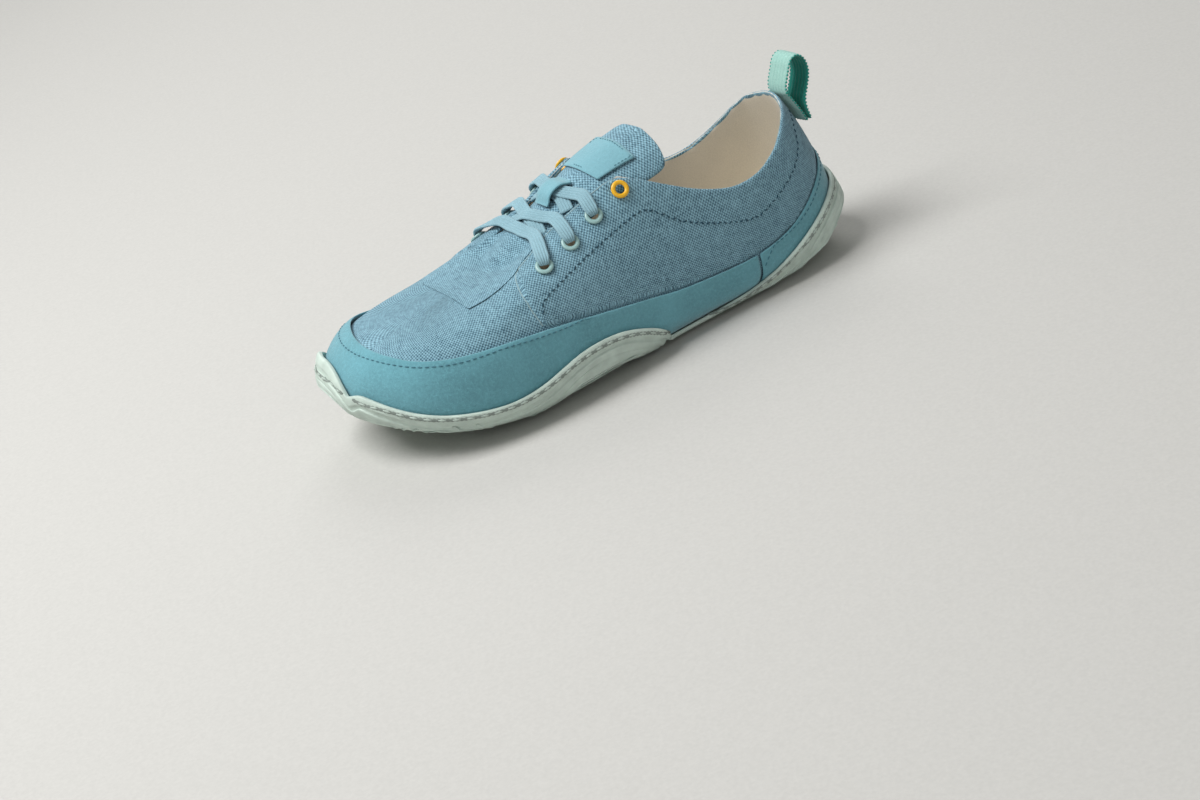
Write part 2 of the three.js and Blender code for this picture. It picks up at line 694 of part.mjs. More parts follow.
// Levels just under the band's lower edge, between which the cup's wall steps out to hold the band.
const STEP_BELOW = 0.016;
const STEP_ABOVE = 0.012;
const SLOT_SEGMENTS = 10;
const GROOVE_SEGMENTS = 12;
const FLARE_DROP = 0.2;
const FLAT_REACH = 0.45;

// The heel and the forefoot each stand on a true flat.
const onFloor = (point) => (point.z < FLAT_REACH ? point.setZ(0) : point);

function outsoleSolid() {
  const steps = sideSteps();
  const section = (angle) => {
    const rim = rimLevel(angle);
    const flare = HEEL_FLARE * clamp(Math.cos(radians(angle))) ** 3;
    const out = (level) => flare * ease((rim - level) / FLARE_DROP) * ease(1 - level / EDGE_LEVEL);
    const face = (level) => mix(RUBBER_OUTER, BED_HEIGHT, clamp(level / EDGE_LEVEL)) + out(level);
    const side = steps.map(({ down, back }) => ({ level: levelBelow(angle, rim, down), back }));
    const lowest = side.at(-1).level;
    const under = between(lowest, -1, 5).slice(1);
    return [
      ...rowsBetween(-1, BAND_LOW - STEP_BELOW).map((level) => onShell(angle, level, BAND_INNER)),
      ...rowsBetween(BAND_LOW - STEP_ABOVE, rim).map((level) => onShell(angle, level, RUBBER_INNER)),
      ...side.map(({ level, back }) => offLast(angle, level, face(level) - back)),
      ...under.map((level) => onFloor(offLast(angle, level, BED_HEIGHT))),
    ];
  };
  const angles = [...COLUMNS, ...onBothSides(RUBBER_EXTRA)].sort((a, b) => a - b);
  const cup = closedOverSpine(angles, section);
  const grooves = [OUTER_TOE_GROOVE, INNER_TOE_GROOVE, HEEL_GROOVE];
  const cutters = [
    lineCutter(SLOT, SLOT_WIDTH, 2 * BED_HEIGHT, SLOT_SEGMENTS),
    holeCutter(),
    ...grooves.map((line) => lineCutter(line, GROOVE_WIDTH, GROOVE_DEPTH, GROOVE_SEGMENTS)),
  ];
  return cutters.reduce((solid, cutter) => solid.subtract(cutter), cup);
}

// Tongue: follows the inside of the upper under the facings and bridges the throat between them. `across`
// runs from -1 to 1, and reaches the facing's edge at THROAT_SHARE.
const THROAT_SHARE = 0.72;
const TONGUE_TUCK = 0.17;
const THROAT_CROWN = 0.14;
const TONGUE_START = 97;

function throatStation(angle, across) {
  const side = Math.sign(across) || 1;
  const beyond = (Math.abs(across) - THROAT_SHARE) / (1 - THROAT_SHARE);
  if (beyond >= 0) {
    const level = 1 - TONGUE_TUCK * beyond;
    return { point: lastPoint(side * angle, level), normal: lastNormal(side * angle, level) };
  }
  const share = (1 - across / THROAT_SHARE) / 2;
  const outer = topPoint(angle);
  const inner = topPoint(-angle);
  const bulge = THROAT_CROWN * outer.distanceTo(inner) * (1 - (across / THROAT_SHARE) ** 2);
  const normal = lastNormal(angle, 1).lerp(lastNormal(-angle, 1), share).normalize();
  return { point: outer.lerp(inner, share).addScaledVector(normal, bulge), normal };
}

// The free end of the tongue stands above the collar and droops more on the outer side. Shares of the inside
// length, the ball width and the heel height.
const TONGUE_END = [
  { across: -1, x: 0.35, y: -0.22, z: 1.12 },
  { across: -0.5, x: 0.338, y: -0.12, z: 1.19 },
  { across: 0, x: 0.332, y: 0.03, z: 1.185 },
  { across: 0.5, x: 0.333, y: 0.17, z: 1.1 },
  { across: 1, x: 0.342, y: 0.265, z: 0.955 },
];
const TONGUE_ARCH = 0.06;
const TONGUE_LEAN = 0.15;
const TONGUE_CROWN = 0.55;
const TONGUE_FREE = 20;
const TONGUE_ALONG = [75, 78, 84, 90, TONGUE_START, 102, 110, 119, 129, 141, 155, 180];
const TONGUE_ACROSS = [-1, -THROAT_SHARE, -0.48, -0.24, 0, 0.24, 0.48, THROAT_SHARE, 1];

function tongueEnd(across) {
  const i = Math.min(TONGUE_END.length - 2, Math.floor((across + 1) * 2));
  const [here, next] = [TONGUE_END[i], TONGUE_END[i + 1]];
  const share = (across - here.across) / (next.across - here.across);
  return new THREE.Vector3(
    RUBBER_OUTER + INSIDE_LENGTH * mix(here.x, next.x, share),
    INSIDE_BALL_WIDTH * mix(here.y, next.y, share),
    BED_HEIGHT + HEEL_HEIGHT * mix(here.z, next.z, share),
  );
}

function freeStation(share, across) {
  const root = throatStation(TONGUE_START, across);
  const end = tongueEnd(across);
  const point = root.point.lerp(end, share);
  point.z += TONGUE_ARCH * HEEL_HEIGHT * share * (1 - share);
  const leaned = new THREE.Vector3(-TONGUE_LEAN, TONGUE_CROWN * across, 1).normalize();
  return { point, normal: root.normal.lerp(leaned, share).normalize() };
}

// A place on the tongue: `along` is an angle of the last, or below TONGUE_START its free part in percent.
function onTongue(along, across, height = 0) {
  const free = clamp((TONGUE_START - along) / TONGUE_FREE);
  const { point, normal } = free > 0 ? freeStation(free, across) : throatStation(along, across);
  return { point: point.addScaledVector(normal, height), normal };
}

function tongueSolid() {
  const last = TONGUE_ACROSS.length - 1;
  const points = [];
  const index = [];
  const id = (face, a, c) => (face * TONGUE_ALONG.length + a) * TONGUE_ACROSS.length + c;
  for (const height of [-TONGUE_GAP, -TONGUE_GAP - TONGUE_THICKNESS])
    for (const a of TONGUE_ALONG)
      for (const c of TONGUE_ACROSS) points.push(onTongue(a, roundedEnd(a, c), height).point);
  for (let a = 0; a < TONGUE_ALONG.length - 1; a += 1) {
    for (let c = 0; c < last; c += 1) {
      index.push(id(0, a, c), id(0, a + 1, c), id(0, a + 1, c + 1));
      index.push(id(0, a, c), id(0, a + 1, c + 1), id(0, a, c + 1));
      index.push(id(1, a, c), id(1, a + 1, c + 1), id(1, a + 1, c));
      index.push(id(1, a, c), id(1, a, c + 1), id(1, a + 1, c + 1));
    }
    index.push(id(0, a, 0), id(1, a, 0), id(1, a + 1, 0), id(0, a, 0), id(1, a + 1, 0), id(0, a + 1, 0));
    index.push(id(0, a, last), id(1, a + 1, last), id(1, a, last));
    index.push(id(0, a, last), id(0, a + 1, last), id(1, a + 1, last));
  }
  for (let c = 0; c < last; c += 1) {
    index.push(id(0, 0, c), id(1, 0, c + 1), id(1, 0, c));
    index.push(id(0, 0, c), id(0, 0, c + 1), id(1, 0, c + 1));
  }
  return solidOf(points, index);
}

// The free end's corners are rounded by narrowing its last rows.
const roundedEnd = (along, across) => across * (along < 76 ? 0.82 : along < 80 ? 0.95 : 1);

// Suede label across the tongue, and the keeper that holds the laces to it
const LABEL_ALONG = [84.5, 88, 92, 95.5];
const LABEL_ACROSS = 0.56;
const KEEPER_ROUTE = [
  { along: 100.2, height: 0 },
  { along: 101.3, height: 0.5 },
  { along: 103.2, height: 3.4 },
  { along: 106.3, height: 3.9 },
  { along: 109.2, height: 3.4 },
  { along: 110.8, height: 0.5 },
  { along: 111.8, height: 0 },
];

function labelSolid() {
  const seat = FIT_GAP - TONGUE_GAP;
  const across = between(-LABEL_ACROSS, LABEL_ACROSS, 7);
  const loops = LABEL_ALONG.map((along) => [
    ...across.map((c) => onTongue(along, c, seat).point),
    ...across.toReversed().map((c) => onTongue(along, c, seat + LABEL_THICKNESS).point),
  ]);
  return sweptSolid(loops, false);
}

function keeperSolid() {
  const seat = FIT_GAP - TONGUE_GAP + KEEPER_THICKNESS / 2;
  const stations = KEEPER_ROUTE.map(({ along, height }) => onTongue(along, 0, seat + height));
  return stripSolid(stations, KEEPER_WIDTH, KEEPER_THICKNESS);
}

// Laces: a bar through the lowest eyelets, and strands that cross from an eyelet to the opposite facing's
// edge, one over the other. Heights are added to a lace that lies on the tongue, and LACE_EDGES holds the
// places along the tongue where they leave one facing and reach the other.
const LACE_EDGES = { bar: 122, lower: [114, 120], upper: [103.5, 109.5] };
const LACE_REST = FIT_GAP + LACE_THICKNESS / 2;
const LACE_CROSSING = LACE_THICKNESS - 0.15;
const LACE_OVER_EDGE = TONGUE_GAP + QUARTER_OUTER + 1.05;

const onLace = (along, across, height) => onTongue(along, across, LACE_REST - TONGUE_GAP + height);

// The end of a lace: narrow inside the hole, then up over the flange and towards the throat. `out` and `up`
// are distances from the eyelet's centre, and `upright` is how far the lace stands on its end.
const LACE_END = [
  { out: -0.4, up: 0.2, share: 0.5, upright: 9 },
  { out: 0, up: 2, share: 0.55, upright: 1.5 },
  { out: 2, up: 2.8, share: 0.8, upright: 0.2 },
  { out: 5, up: 2.6, share: 1, upright: 0 },
];

// How a lace crosses: `share` of its run, place across the tongue, and height when it passes over or under.
const BAR_CROSSING = [
  { across: 0.72, height: LACE_OVER_EDGE },
  { across: 0.45, height: LACE_CROSSING },
  { across: 0, height: 0.3 },
  { across: -0.45, height: LACE_CROSSING },
  { across: -0.72, height: LACE_OVER_EDGE },
];
const STRAND_CROSSING = [
  { share: 0, across: 0.72, over: LACE_OVER_EDGE, under: LACE_OVER_EDGE },
  { share: 0.25, across: 0.36, over: LACE_CROSSING, under: 0.9 },
  { share: 0.45, across: 0, over: LACE_CROSSING + 0.2, under: 0.2 },
  { share: 0.65, across: -0.34, over: 0.3, under: 0.3 },
  { share: 1, across: -0.66, over: 0.45, under: 0.45 },
];

function outOfEyelet(seat, next) {
  const toward = next.point.clone().sub(seat.centre);
  toward.addScaledVector(seat.normal, -toward.dot(seat.normal)).normalize();
  return LACE_END.map(({ out, up, share, upright }) => ({
    point: seat.centre.clone().addScaledVector(toward, out).addScaledVector(seat.normal, up),
    normal: seat.normal.clone().addScaledVector(toward, -upright).normalize(),
    share,
  }));
}

function barStops(row, edge) {
  const middle = BAR_CROSSING.map(({ across, height }) => onLace(edge, across, height));
  const outer = outOfEyelet(eyeletSeat(row, 1), middle[0]);
  const inner = outOfEyelet(eyeletSeat(row, -1), middle.at(-1));
  return [...outer, ...middle, ...inner.toReversed()];
}

function strandStops(row, edge, to, side, under) {
  const middle = STRAND_CROSSING.map(({ share, across, over, under: below }) =>
    onLace(mix(edge, to, share), side * across, under ? below : over),
  );
  return [...outOfEyelet(eyeletSeat(row, side), middle[0]), ...middle];
}

// Stations along a lace that crosses once, and along the bar that runs right across.
const STRAND_STATIONS = 15;
const BAR_STATIONS = 21;

function laceSolid(stops, count) {
  const curve = new THREE.CatmullRomCurve3(stops.map(({ point }) => point));
  const stations = between(0, 1, count).map((t) => {
    const i = Math.min(stops.length - 2, Math.floor(t * (stops.length - 1)));
    const part = t * (stops.length - 1) - i;
    return {
      point: curve.getPoint(t),
      normal: stops[i].normal.clone().lerp(stops[i + 1].normal, part).normalize(),
      share: mix(stops[i].share ?? 1, stops[i + 1].share ?? 1, part),
    };
  });
  return stripSolid(stations, LACE_WIDTH, LACE_THICKNESS);
}

const joined = (solids) => solids.reduce((whole, solid) => whole.add(solid));

// Pull loop: webbing sewn double to the outside of the heel, standing up and back as a loop over the collar.
// `up` is a share of LOOP_HEIGHT over the collar and `back` a share of LOOP_DEPTH behind its edge.
const LOOP_ANGLE = 6;
const LOOP_STATIONS = 22;
const LOOP_SEWN_OUT = [0.7, 0.78, 0.9, 1];
const LOOP_SEWN_BACK = [0.8, 0.75, 0.7];
const LOOP_ROUTE = [
  { up: 0.5, back: 0.3 },
  { up: 0.93, back: 0.5 },
  { up: 1, back: 0.78 },
  { up: 0.74, back: 1.06 },
  { up: 0.3, back: 1.13 },
  { up: -0.22, back: 0.92 },
];

function loopSolid() {
  const first = QUARTER_OUTER + 2 * SHELL_GAP + LOOP_THICKNESS / 2;
  const second = first + LOOP_THICKNESS + FIT_GAP;
  const edge = offLast(LOOP_ANGLE, 1, first);
  const free = LOOP_ROUTE.map(
    ({ up, back }) => new THREE.Vector3(edge.x - back * LOOP_DEPTH, edge.y, edge.z + up * LOOP_HEIGHT),
  );
  const sewn = (levels, distance) => levels.map((level) => offLast(LOOP_ANGLE, level, distance));
  const path = [...sewn(LOOP_SEWN_OUT, first), ...free, ...sewn(LOOP_SEWN_BACK, second)];
  const curve = new THREE.CatmullRomCurve3(path);
  const stations = between(0, 1, LOOP_STATIONS).map((t) => {
    const along = curve.getTangentAt(t);
    return { point: curve.getPointAt(t), normal: new THREE.Vector3(-along.z, 0, along.x) };
  });
  return stripSolid(stations, LOOP_WIDTH, LOOP_THICKNESS);
}

// Assembly
const FINISHES = {
  canvas: { color: 0x6f93a8, roughness: 0.9 },
  suede: { color: 0x69adbd, roughness: 0.95 },
  rubber: { color: 0xb9ccc2, roughness: 0.7 },
  webbing: { color: 0x8fd3c3, roughness: 0.85 },
  lace: { color: 0x9fc3d0, roughness: 0.85 },
  lining: { color: 0xd9cfc2, roughness: 0.95 },
  inlay: { color: 0xe9592f, roughness: 0.6 },
  sage: { color: 0xa3c0b6, roughness: 0.4 },
  yellow: { color: 0xefb51f, roughness: 0.35 },
};

const shoe = new THREE.Group();

function place(name, solid, finish) {
  const material = new THREE.MeshStandardMaterial({ ...FINISHES[finish], metalness: 0 });
  const mesh = new THREE.Mesh(toGeometry(solid), material);
  mesh.name = name;
  shoe.add(mesh);
}

place("outsole", outsoleSolid(), "rubber");
place("sole_inlay", inlaySolid(), "inlay");
place("insole", insoleSolid(), "lining");
place("upper", upperSolid(), "canvas");
place("band_front", bandSolid(SEAM_OUTER, SEAM_INNER), "suede");
place("band_heel", bandSolid(SEAM_INNER - WHOLE_TURN, SEAM_OUTER), "suede");
place("tongue", tongueSolid(), "canvas");
place("tongue_label", labelSolid(), "suede");
place("lace_keeper", keeperSolid(), "suede");
eyeletSeats().forEach((seat, i) => {
  const top = seat.at === EYELETS[0].at;
  const name = `eyelet_${seat.side > 0 ? "outer" : "inner"}_${1 + Math.floor(i / 2)}`;
  place(name, eyeletSolid(seat), top ? "yellow" : "sage");
});
const [, third, second, first] = EYELETS;
const crossed = (row, edge, to) => [
  laceSolid(strandStops(row, edge, to, 1, 0), STRAND_STATIONS),
  laceSolid(strandStops(row, edge, to, -1, 1), STRAND_STATIONS),
];
const bar = laceSolid(barStops(first, LACE_EDGES.bar), BAR_STATIONS);
const lower = [bar, ...crossed(second, ...LACE_EDGES.lower)];
const upper = crossed(third, ...LACE_EDGES.upper);
place("lace_lower", joined(lower), "lace");
place("lace_upper", joined(upper), "lace");
place("pull_loop", loopSolid(), "webbing");

// The origin is at the bottom centre of the whole shoe.
const box = new THREE.Box3().setFromObject(shoe);
const centre = box.getCenter(new THREE.Vector3());
shoe.position.set(-centre.x, -centre.y, -box.min.z);

export default shoe;
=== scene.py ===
"""A low barefoot shoe: canvas upper, suede band, split rubber sole, laces and a pull loop."""

import math

import bmesh
import bpy
from bpy.props import FloatProperty, FloatVectorProperty, IntProperty, PointerProperty
from mathutils import Matrix, Vector, noise
from mathutils.bvhtree import BVHTree


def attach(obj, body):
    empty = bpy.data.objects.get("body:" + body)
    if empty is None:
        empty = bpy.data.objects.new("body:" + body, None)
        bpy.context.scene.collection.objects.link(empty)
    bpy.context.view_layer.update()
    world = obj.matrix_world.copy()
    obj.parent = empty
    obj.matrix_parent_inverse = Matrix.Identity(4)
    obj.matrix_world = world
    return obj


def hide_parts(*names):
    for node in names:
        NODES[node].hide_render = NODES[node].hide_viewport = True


bl_info = {
    "name": "Barefoot shoe",
    "version": (1, 0, 0),
    "blender": (4, 5, 0),
    "location": "View3D > Sidebar > Shoe",
    "description": "Dresses the packed parts of a barefoot shoe",
    "category": "Object",
}

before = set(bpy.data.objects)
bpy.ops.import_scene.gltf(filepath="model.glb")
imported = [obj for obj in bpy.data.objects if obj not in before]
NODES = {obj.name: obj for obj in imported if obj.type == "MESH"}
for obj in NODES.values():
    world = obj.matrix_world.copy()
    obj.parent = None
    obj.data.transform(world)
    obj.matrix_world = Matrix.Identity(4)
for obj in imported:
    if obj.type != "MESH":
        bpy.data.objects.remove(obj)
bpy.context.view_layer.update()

MM = 0.001
UP = Vector((0, 0, 1))

# The line through the middle of the foot, from heel to toe, that widths and turns are taken from
HEEL_X, TOE_X = -0.092, 0.078
AXIS_HEIGHT = 0.02
TURN_RADIUS = 0.04
SECTION_RADIUS = 0.045
MIDDLE_HEIGHT = 0.03

# How the solids are joined up: corners nearer than this, and diagonals flatter than these angles
MERGE_DISTANCE = 0.02 * MM
FLAT_ENOUGH = math.radians(30)
SQUARE_ENOUGH = math.radians(70)

# The angle in degrees over which a solid's edges stay sharp when it is smoothed, and how sharp
SHARP_EDGES = {
    "outsole": (40, 0.75),
    "sole_inlay": (40, 0.8),
    "insole": (50, 0.5),
    "tongue_label": (50, 0.7),
    "lace_keeper": (50, 0.6),
}

# Starts for looking at the shoe from around it and from under it, and a search's step
OUTSIDE = 0.12
UNDERNEATH = 0.02
SEARCH_STEP = 0.4 * MM

# How far seams lie off the skin they are sewn to
LIFT = 0.05 * MM

# The throat, where the cloth is held flat, and the soft creases elsewhere
THROAT = Vector((0.015, 0, 0.05))
THROAT_REACH = Vector((0.06, 0.045, 0))
CREASE_SIZE = 0.024
CREASE_DEPTH = 0.0008


# Shapes


def merged_copy(node):
    """A node's solid as one mesh with shared corners and few diagonals."""
    mesh = bmesh.new()
    mesh.from_mesh(NODES[node].data)
    bmesh.ops.remove_doubles(mesh, verts=mesh.verts, dist=MERGE_DISTANCE)
    bmesh.ops.join_triangles(
        mesh,
        faces=mesh.faces,
        angle_face_threshold=FLAT_ENOUGH,
        angle_shape_threshold=SQUARE_ENOUGH,
    )
    if node in SHARP_EDGES:
        angle, sharpness = SHARP_EDGES[node]
        layer = mesh.edges.layers.float.new("crease_edge")
        for edge in mesh.edges:
            if edge.is_manifold and edge.calc_face_angle(0) > math.radians(angle):
                edge[layer] = sharpness
    return mesh


def shoe_place(point):
    """How far round the shoe, and how far down its section, a point lies."""
    middle = min(max(point.x, HEEL_X), TOE_X)
    ahead = point.x - middle
    turn = math.atan2(ahead, max(abs(point.y), 1e-6))
    out = math.hypot(ahead, point.y)
    down = math.atan2(out, point.z - AXIS_HEIGHT)
    return middle + turn * TURN_RADIUS, down * SECTION_RADIUS


def outward(point):
    """The way out of the foot at a point on the upper."""
    middle = Vector((min(max(point.x, HEEL_X), TOE_X), 0, MIDDLE_HEIGHT))
    return (point - middle).normalized()


def sag_cloth(mesh):
    """Lets the cloth sag a little between its seams, but not at the throat."""
    for vert in mesh.verts:
        place = vert.co
        ahead = (place.x - THROAT.x) / THROAT_REACH.x
        aside = (place.y - THROAT.y) / THROAT_REACH.y
        if place.z < THROAT.z or math.hypot(ahead, aside) > 1:
            lump = noise.noise(place / CREASE_SIZE)
            lump += 0.5 * noise.noise(place / (CREASE_SIZE * 0.5) + UP)
            vert.co += outward(place) * lump * CREASE_DEPTH


def cloth_map(mesh):
    """Lays a cloth's threads along and round the shoe."""
    layer = mesh.loops.layers.uv.new("cloth")
    for face in mesh.faces:
        for loop in face.loops:
            loop[layer].uv = shoe_place(loop.vert.co)


def finish_piece(mesh, name, materials, nodes=(), levels=0):
    """Turns a finished mesh into a piece of the shoe."""
    data = bpy.data.meshes.new(name)
    for material in materials:
        data.materials.append(material)
    for face in mesh.faces:
        face.smooth = True
    mesh.to_mesh(data)
    mesh.free()
    piece = bpy.data.objects.new(name, data)
    bpy.context.scene.collection.objects.link(piece)
    if levels:
        rounder = piece.modifiers.new("round", "SUBSURF")
        rounder.levels = rounder.render_levels = levels
    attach(piece, "root")
    if nodes:
        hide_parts(*nodes)
    return piece


def surface_of(*nodes):
    """A searchable skin of these nodes."""
    mesh = bmesh.new()
    for node in nodes:
        mesh.from_mesh(NODES[node].data)
    tree = BVHTree.FromBMesh(mesh)
    mesh.free()
    return tree


def piece_surface(piece):
    """A searchable skin of a finished piece, with its modifiers."""
    return BVHTree.FromObject(piece, bpy.context.evaluated_depsgraph_get())


def smooth_route(points, per_span=6):
    """A Catmull-Rom curve through the points."""
    points = [Vector(p) for p in points]
    ends = [points[0] * 2 - points[1], *points, points[-1] * 2 - points[-2]]
    route = []
    for a, b, c, d in zip(ends, ends[1:], ends[2:], ends[3:]):
        for step in range(per_span):
            t = step / per_span
            route.append(
                0.5
                * (
                    2 * b
                    + (c - a) * t
                    + (2 * a - 5 * b + 4 * c - d) * t * t
                    + (3 * b - a - 3 * c + d) * t**3
                )
            )
    return [*route, points[-1]]


def even_steps(points, step):
    """Places a step apart along a route, each with the way it runs."""
    points = [Vector(p) for p in points]
    places, rest = [], step / 2
    for a, b in zip(points, points[1:]):
        span = (b - a).length
        if span < 1e-9:
            continue
        while rest <= span:
            places.append((a.lerp(b, rest / span), (b - a) / span))
            rest += step
        rest -= span
    return places


def edges_within(*rings):
    """The edges that join neighbours inside each of these rings."""
    edges = {edge for ring in rings for vert in ring for edge in vert.link_edges}
    rings = [set(ring) for ring in rings]
    return [edge for edge in edges if any(set(edge.verts) <= ring for ring in rings)]


def sweep(mesh, stations, profile):
    """A bar with this profile along stations of (point, along, normal, width, thickness)."""
    rings = []
    for point, along, normal, width, thickness in stations:
        across = normal.cross(along).normalized()
        up = along.cross(across).normalized()
        made = bmesh.ops.create_circle(mesh, segments=len(profile), radius=1)
        for vert, (x, y) in zip(made["verts"], profile):
            vert.co = point + across * (x * width / 2) + up * (y * thickness / 2)
        rings.append(made["verts"])
    for one, two in zip(rings, rings[1:]):
        bmesh.ops.bridge_loops(mesh, edges=edges_within(one, two))
    for ring in (rings[0], rings[-1]):
        bmesh.ops.holes_fill(mesh, edges=edges_within(ring), sides=0)


STRIP_SPANS = 5


def way_at(route, i):
    """The way a route runs at one of its points."""
    return (route[min(i + 1, len(route) - 1)] - route[max(i - 1, 0)]).normalized()


def stations_of(points, normals, width, thickness):
    """Stations for a strip through the points, with its flat side facing the normals."""
    route = smooth_route(points, STRIP_SPANS)
    facing = smooth_route(normals, STRIP_SPANS)
    return [
        (point, way_at(route, i), facing[i].normalized(), width, thickness)
        for i, point in enumerate(route)
    ]


STITCH_SIDES, STITCH_RINGS = 6, 4


def sew(mesh, places, length, width, height, lean=0.0):
    """One stitch at each place of (point, along, normal), leaning to alternate sides."""
    for i, (point, along, normal) in enumerate(places):
        across = normal.cross(along).normalized()
        along = (along + across * (lean if i % 2 else -lean)).normalized()
        across = normal.cross(along).normalized()
        turn = Matrix((along, across, along.cross(across))).transposed().to_4x4()
        size = Matrix.Diagonal((length / 2, width / 2, height / 2, 1))
        bmesh.ops.create_uvsphere(
            mesh,
            u_segments=STITCH_SIDES,
            v_segments=STITCH_RINGS,
            radius=1,
            matrix=Matrix.Translation(point) @ turn @ size,
        )


def on_skin(tree, route, step, lift=0.0):
    """Even places along a route, laid on a skin with its outward side up."""
    places = []
    for point, along in even_steps(route, step):
        spot, normal, _, _ = tree.find_nearest(point)
        if normal.dot(outward(spot)) < 0:
            normal = -normal
        places.append((spot + normal * lift, along, normal))
    return places


def outline_ray(share):
    """A start well outside the shoe and the way in, for a share of the way round it."""
    straight = TOE_X - HEEL_X
    curve = math.pi * TURN_RADIUS
    reach = share * 2 * (straight + curve)
    if reach < straight:
        centre, angle = HEEL_X + reach, math.pi / 2
    elif reach < straight + curve:
        centre, angle = TOE_X, math.pi / 2 - (reach - straight) / TURN_RADIUS
    elif reach < 2 * straight + curve:
        centre, angle = TOE_X - (reach - straight - curve), -math.pi / 2
    else:
        centre = HEEL_X
        angle = -math.pi / 2 - (reach - 2 * straight - curve) / TURN_RADIUS
    out = Vector((math.cos(angle), math.sin(angle), 0))
    return Vector((centre, 0, 0)) + out * OUTSIDE, -out


# Places round the shoe at which a row is found, and how many on each side soften it
ROW_POINTS, ROW_SOFTENING = 220, 3


def top_row(tree, drop, high):
    """The row on a skin's outside that runs a drop below its top edge."""
    count, soften = ROW_POINTS, ROW_SOFTENING
    tops = []
    for i in range(count):
        start, way = outline_ray(i / count)
        found = None
        z = high
        while z > 0:
            if tree.ray_cast(start + UP * z, way)[0] is not None:
                found = z
                break
            z -= SEARCH_STEP
        tops.append(found)
    row = []
    for i in range(count):
        near = [tops[(i + k) % count] for k in range(-soften, soften + 1)]
        near = [z for z in near if z is not None]
        if tops[i] is None or len(near) < soften:
            row.append(None)
            continue
        start, way = outline_ray(i / count)
        z = sum(near) / len(near) - drop
        spot, normal, _, _ = tree.ray_cast(start + UP * z, way)
        row.append((spot, normal) if spot is not None else None)
    return row


def runs_of(row):
    """Splits a closed row at its gaps."""
    count = len(row)
    first = next((i for i in range(count) if row[i] is None), 0)
    runs, run = [], []
    for i in range(count):
        item = row[(first + i) % count]
        if item is None:
            if len(run) > 2:
                runs.append(run)
            run = []
        else:
            run.append(item[0])
    if len(run) > 2:
        runs.append(run)
    if all(row):
        runs[0].append(runs[0][0])
    return runs


# Finishes


def paint(red, green, blue):
    """A screen colour from 0 to 255 as the light it stands for."""
    return tuple(
        ((shade / 255 + 0.055) / 1.055) ** 2.4 if shade > 10 else shade / 3294
        for shade in (red, green, blue)
    )


def shaded(colour, share):
    return tuple(c * share for c in colour)


class Finish:
    """A material put together node by node."""

    def __init__(self, name, roughness, sheen=0.0, specular=0.3):
        self.material = bpy.data.materials.new(name)
        self.material.use_nodes = True
        self.tree = self.material.node_tree
        self.shader = self.tree.nodes["Principled BSDF"]
        self.shader.inputs["Roughness"].default_value = roughness
        self.shader.inputs["Specular IOR Level"].default_value = specular
        self.shader.inputs["Sheen Weight"].default_value = sheen
        self.shader.inputs["Sheen Roughness"].default_value = 0.5

    def node(self, kind, inputs=None, **settings):
        made = self.tree.nodes.new("ShaderNode" + kind)
        for key, value in settings.items():
            setattr(made, key, value)
        for key, value in (inputs or {}).items():
            if isinstance(value, bpy.types.NodeSocket):
                self.tree.links.new(value, made.inputs[key])
            else:
                made.inputs[key].default_value = value
        return made

    def place(self):
        return self.node("TexCoord").outputs["Object"]

    def cloth(self):
        return self.node("UVMap", uv_map="cloth").outputs["UV"]

    def scaled(self, vector, sizes):
        return self.node("Mapping", {"Vector": vector, "Scale": sizes}).outputs["Vector"]

    def noise(self, vector, size, detail=2.0):
        """Noise whose lumps are about this size in metres."""
        values = {"Vector": vector, "Scale": 1 / size, "Detail": detail}
        return self.node("TexNoise", values).outputs["Fac"]

    def maths(self, operation, a, b=0.0):
        return self.node("Math", {0: a, 1: b}, operation=operation).outputs[0]

    def between(self, value, low, high):
        values = {"Value": value, "From Min": low, "From Max": high}
        return self.node("MapRange", values).outputs["Result"]

    def mix(self, share, one, two):
        values = {0: share}
        for key, colour in ((6, one), (7, two)):
            linked = isinstance(colour, bpy.types.NodeSocket)
            values[key] = colour if linked else (*colour, 1)
        return self.node("Mix", values, data_type="RGBA").outputs[2]

    def threads(self, vector, pitch):
        """A plain weave: 1 where a thread is on top, 0 between threads."""
        parts = self.node("SeparateXYZ", {0: vector}).outputs
        turns = 2 * math.pi / pitch
        one = self.maths("SINE", self.maths("MULTIPLY", parts[0], turns))
        two = self.maths("SINE", self.maths("MULTIPLY", parts[1], turns))
        return self.maths("MULTIPLY_ADD", self.maths("MULTIPLY", one, two), 0.5)

    def colour(self, socket):
        self.tree.links.new(socket, self.shader.inputs["Base Color"])

    def bump(self, height, distance, strength=1.0):
        values = {"Height": height, "Distance": distance, "Strength": strength}
        bumped = self.node("Bump", values)
        self.tree.links.new(bumped.outputs[0], self.shader.inputs["Normal"])


# Canvas: its slubs' stretch and thickness, worn patches, folds and depth
SLUB_DRAWN, SLUB_SIZE = 0.12, 0.45
WORN_SIZE, FOLD_SIZE, CANVAS_DEPTH = 0.035, 14 * MM, 0.3 * MM

# Suede: its nap, specks, patches and depth
NAP_SIZE, SPECK_SIZE, SUEDE_PATCH, NAP_DEPTH = 0.5 * MM, 1.3 * MM, 22 * MM, 0.3 * MM

# Rubber: its mottle, its grain and the grain's depth, and the shade of its dust
MOTTLE_SIZE, GRAIN_SIZE, GRAIN_DEPTH, DUST_SHADE = 6 * MM, 0.7 * MM, 0.12 * MM, 0.8

# Finer cloth: the size of its patches, the depth of its weave, and each cloth's grain
CLOTH_PATCH, CLOTH_DEPTH = 12 * MM, 0.2 * MM
THREAD_GRAIN, WEBBING_GRAIN, LACE_GRAIN = 0.4 * MM, 0.6 * MM, 0.5 * MM
LINING_GRAIN, INSOLE_GRAIN = 0.6 * MM, 0.8 * MM

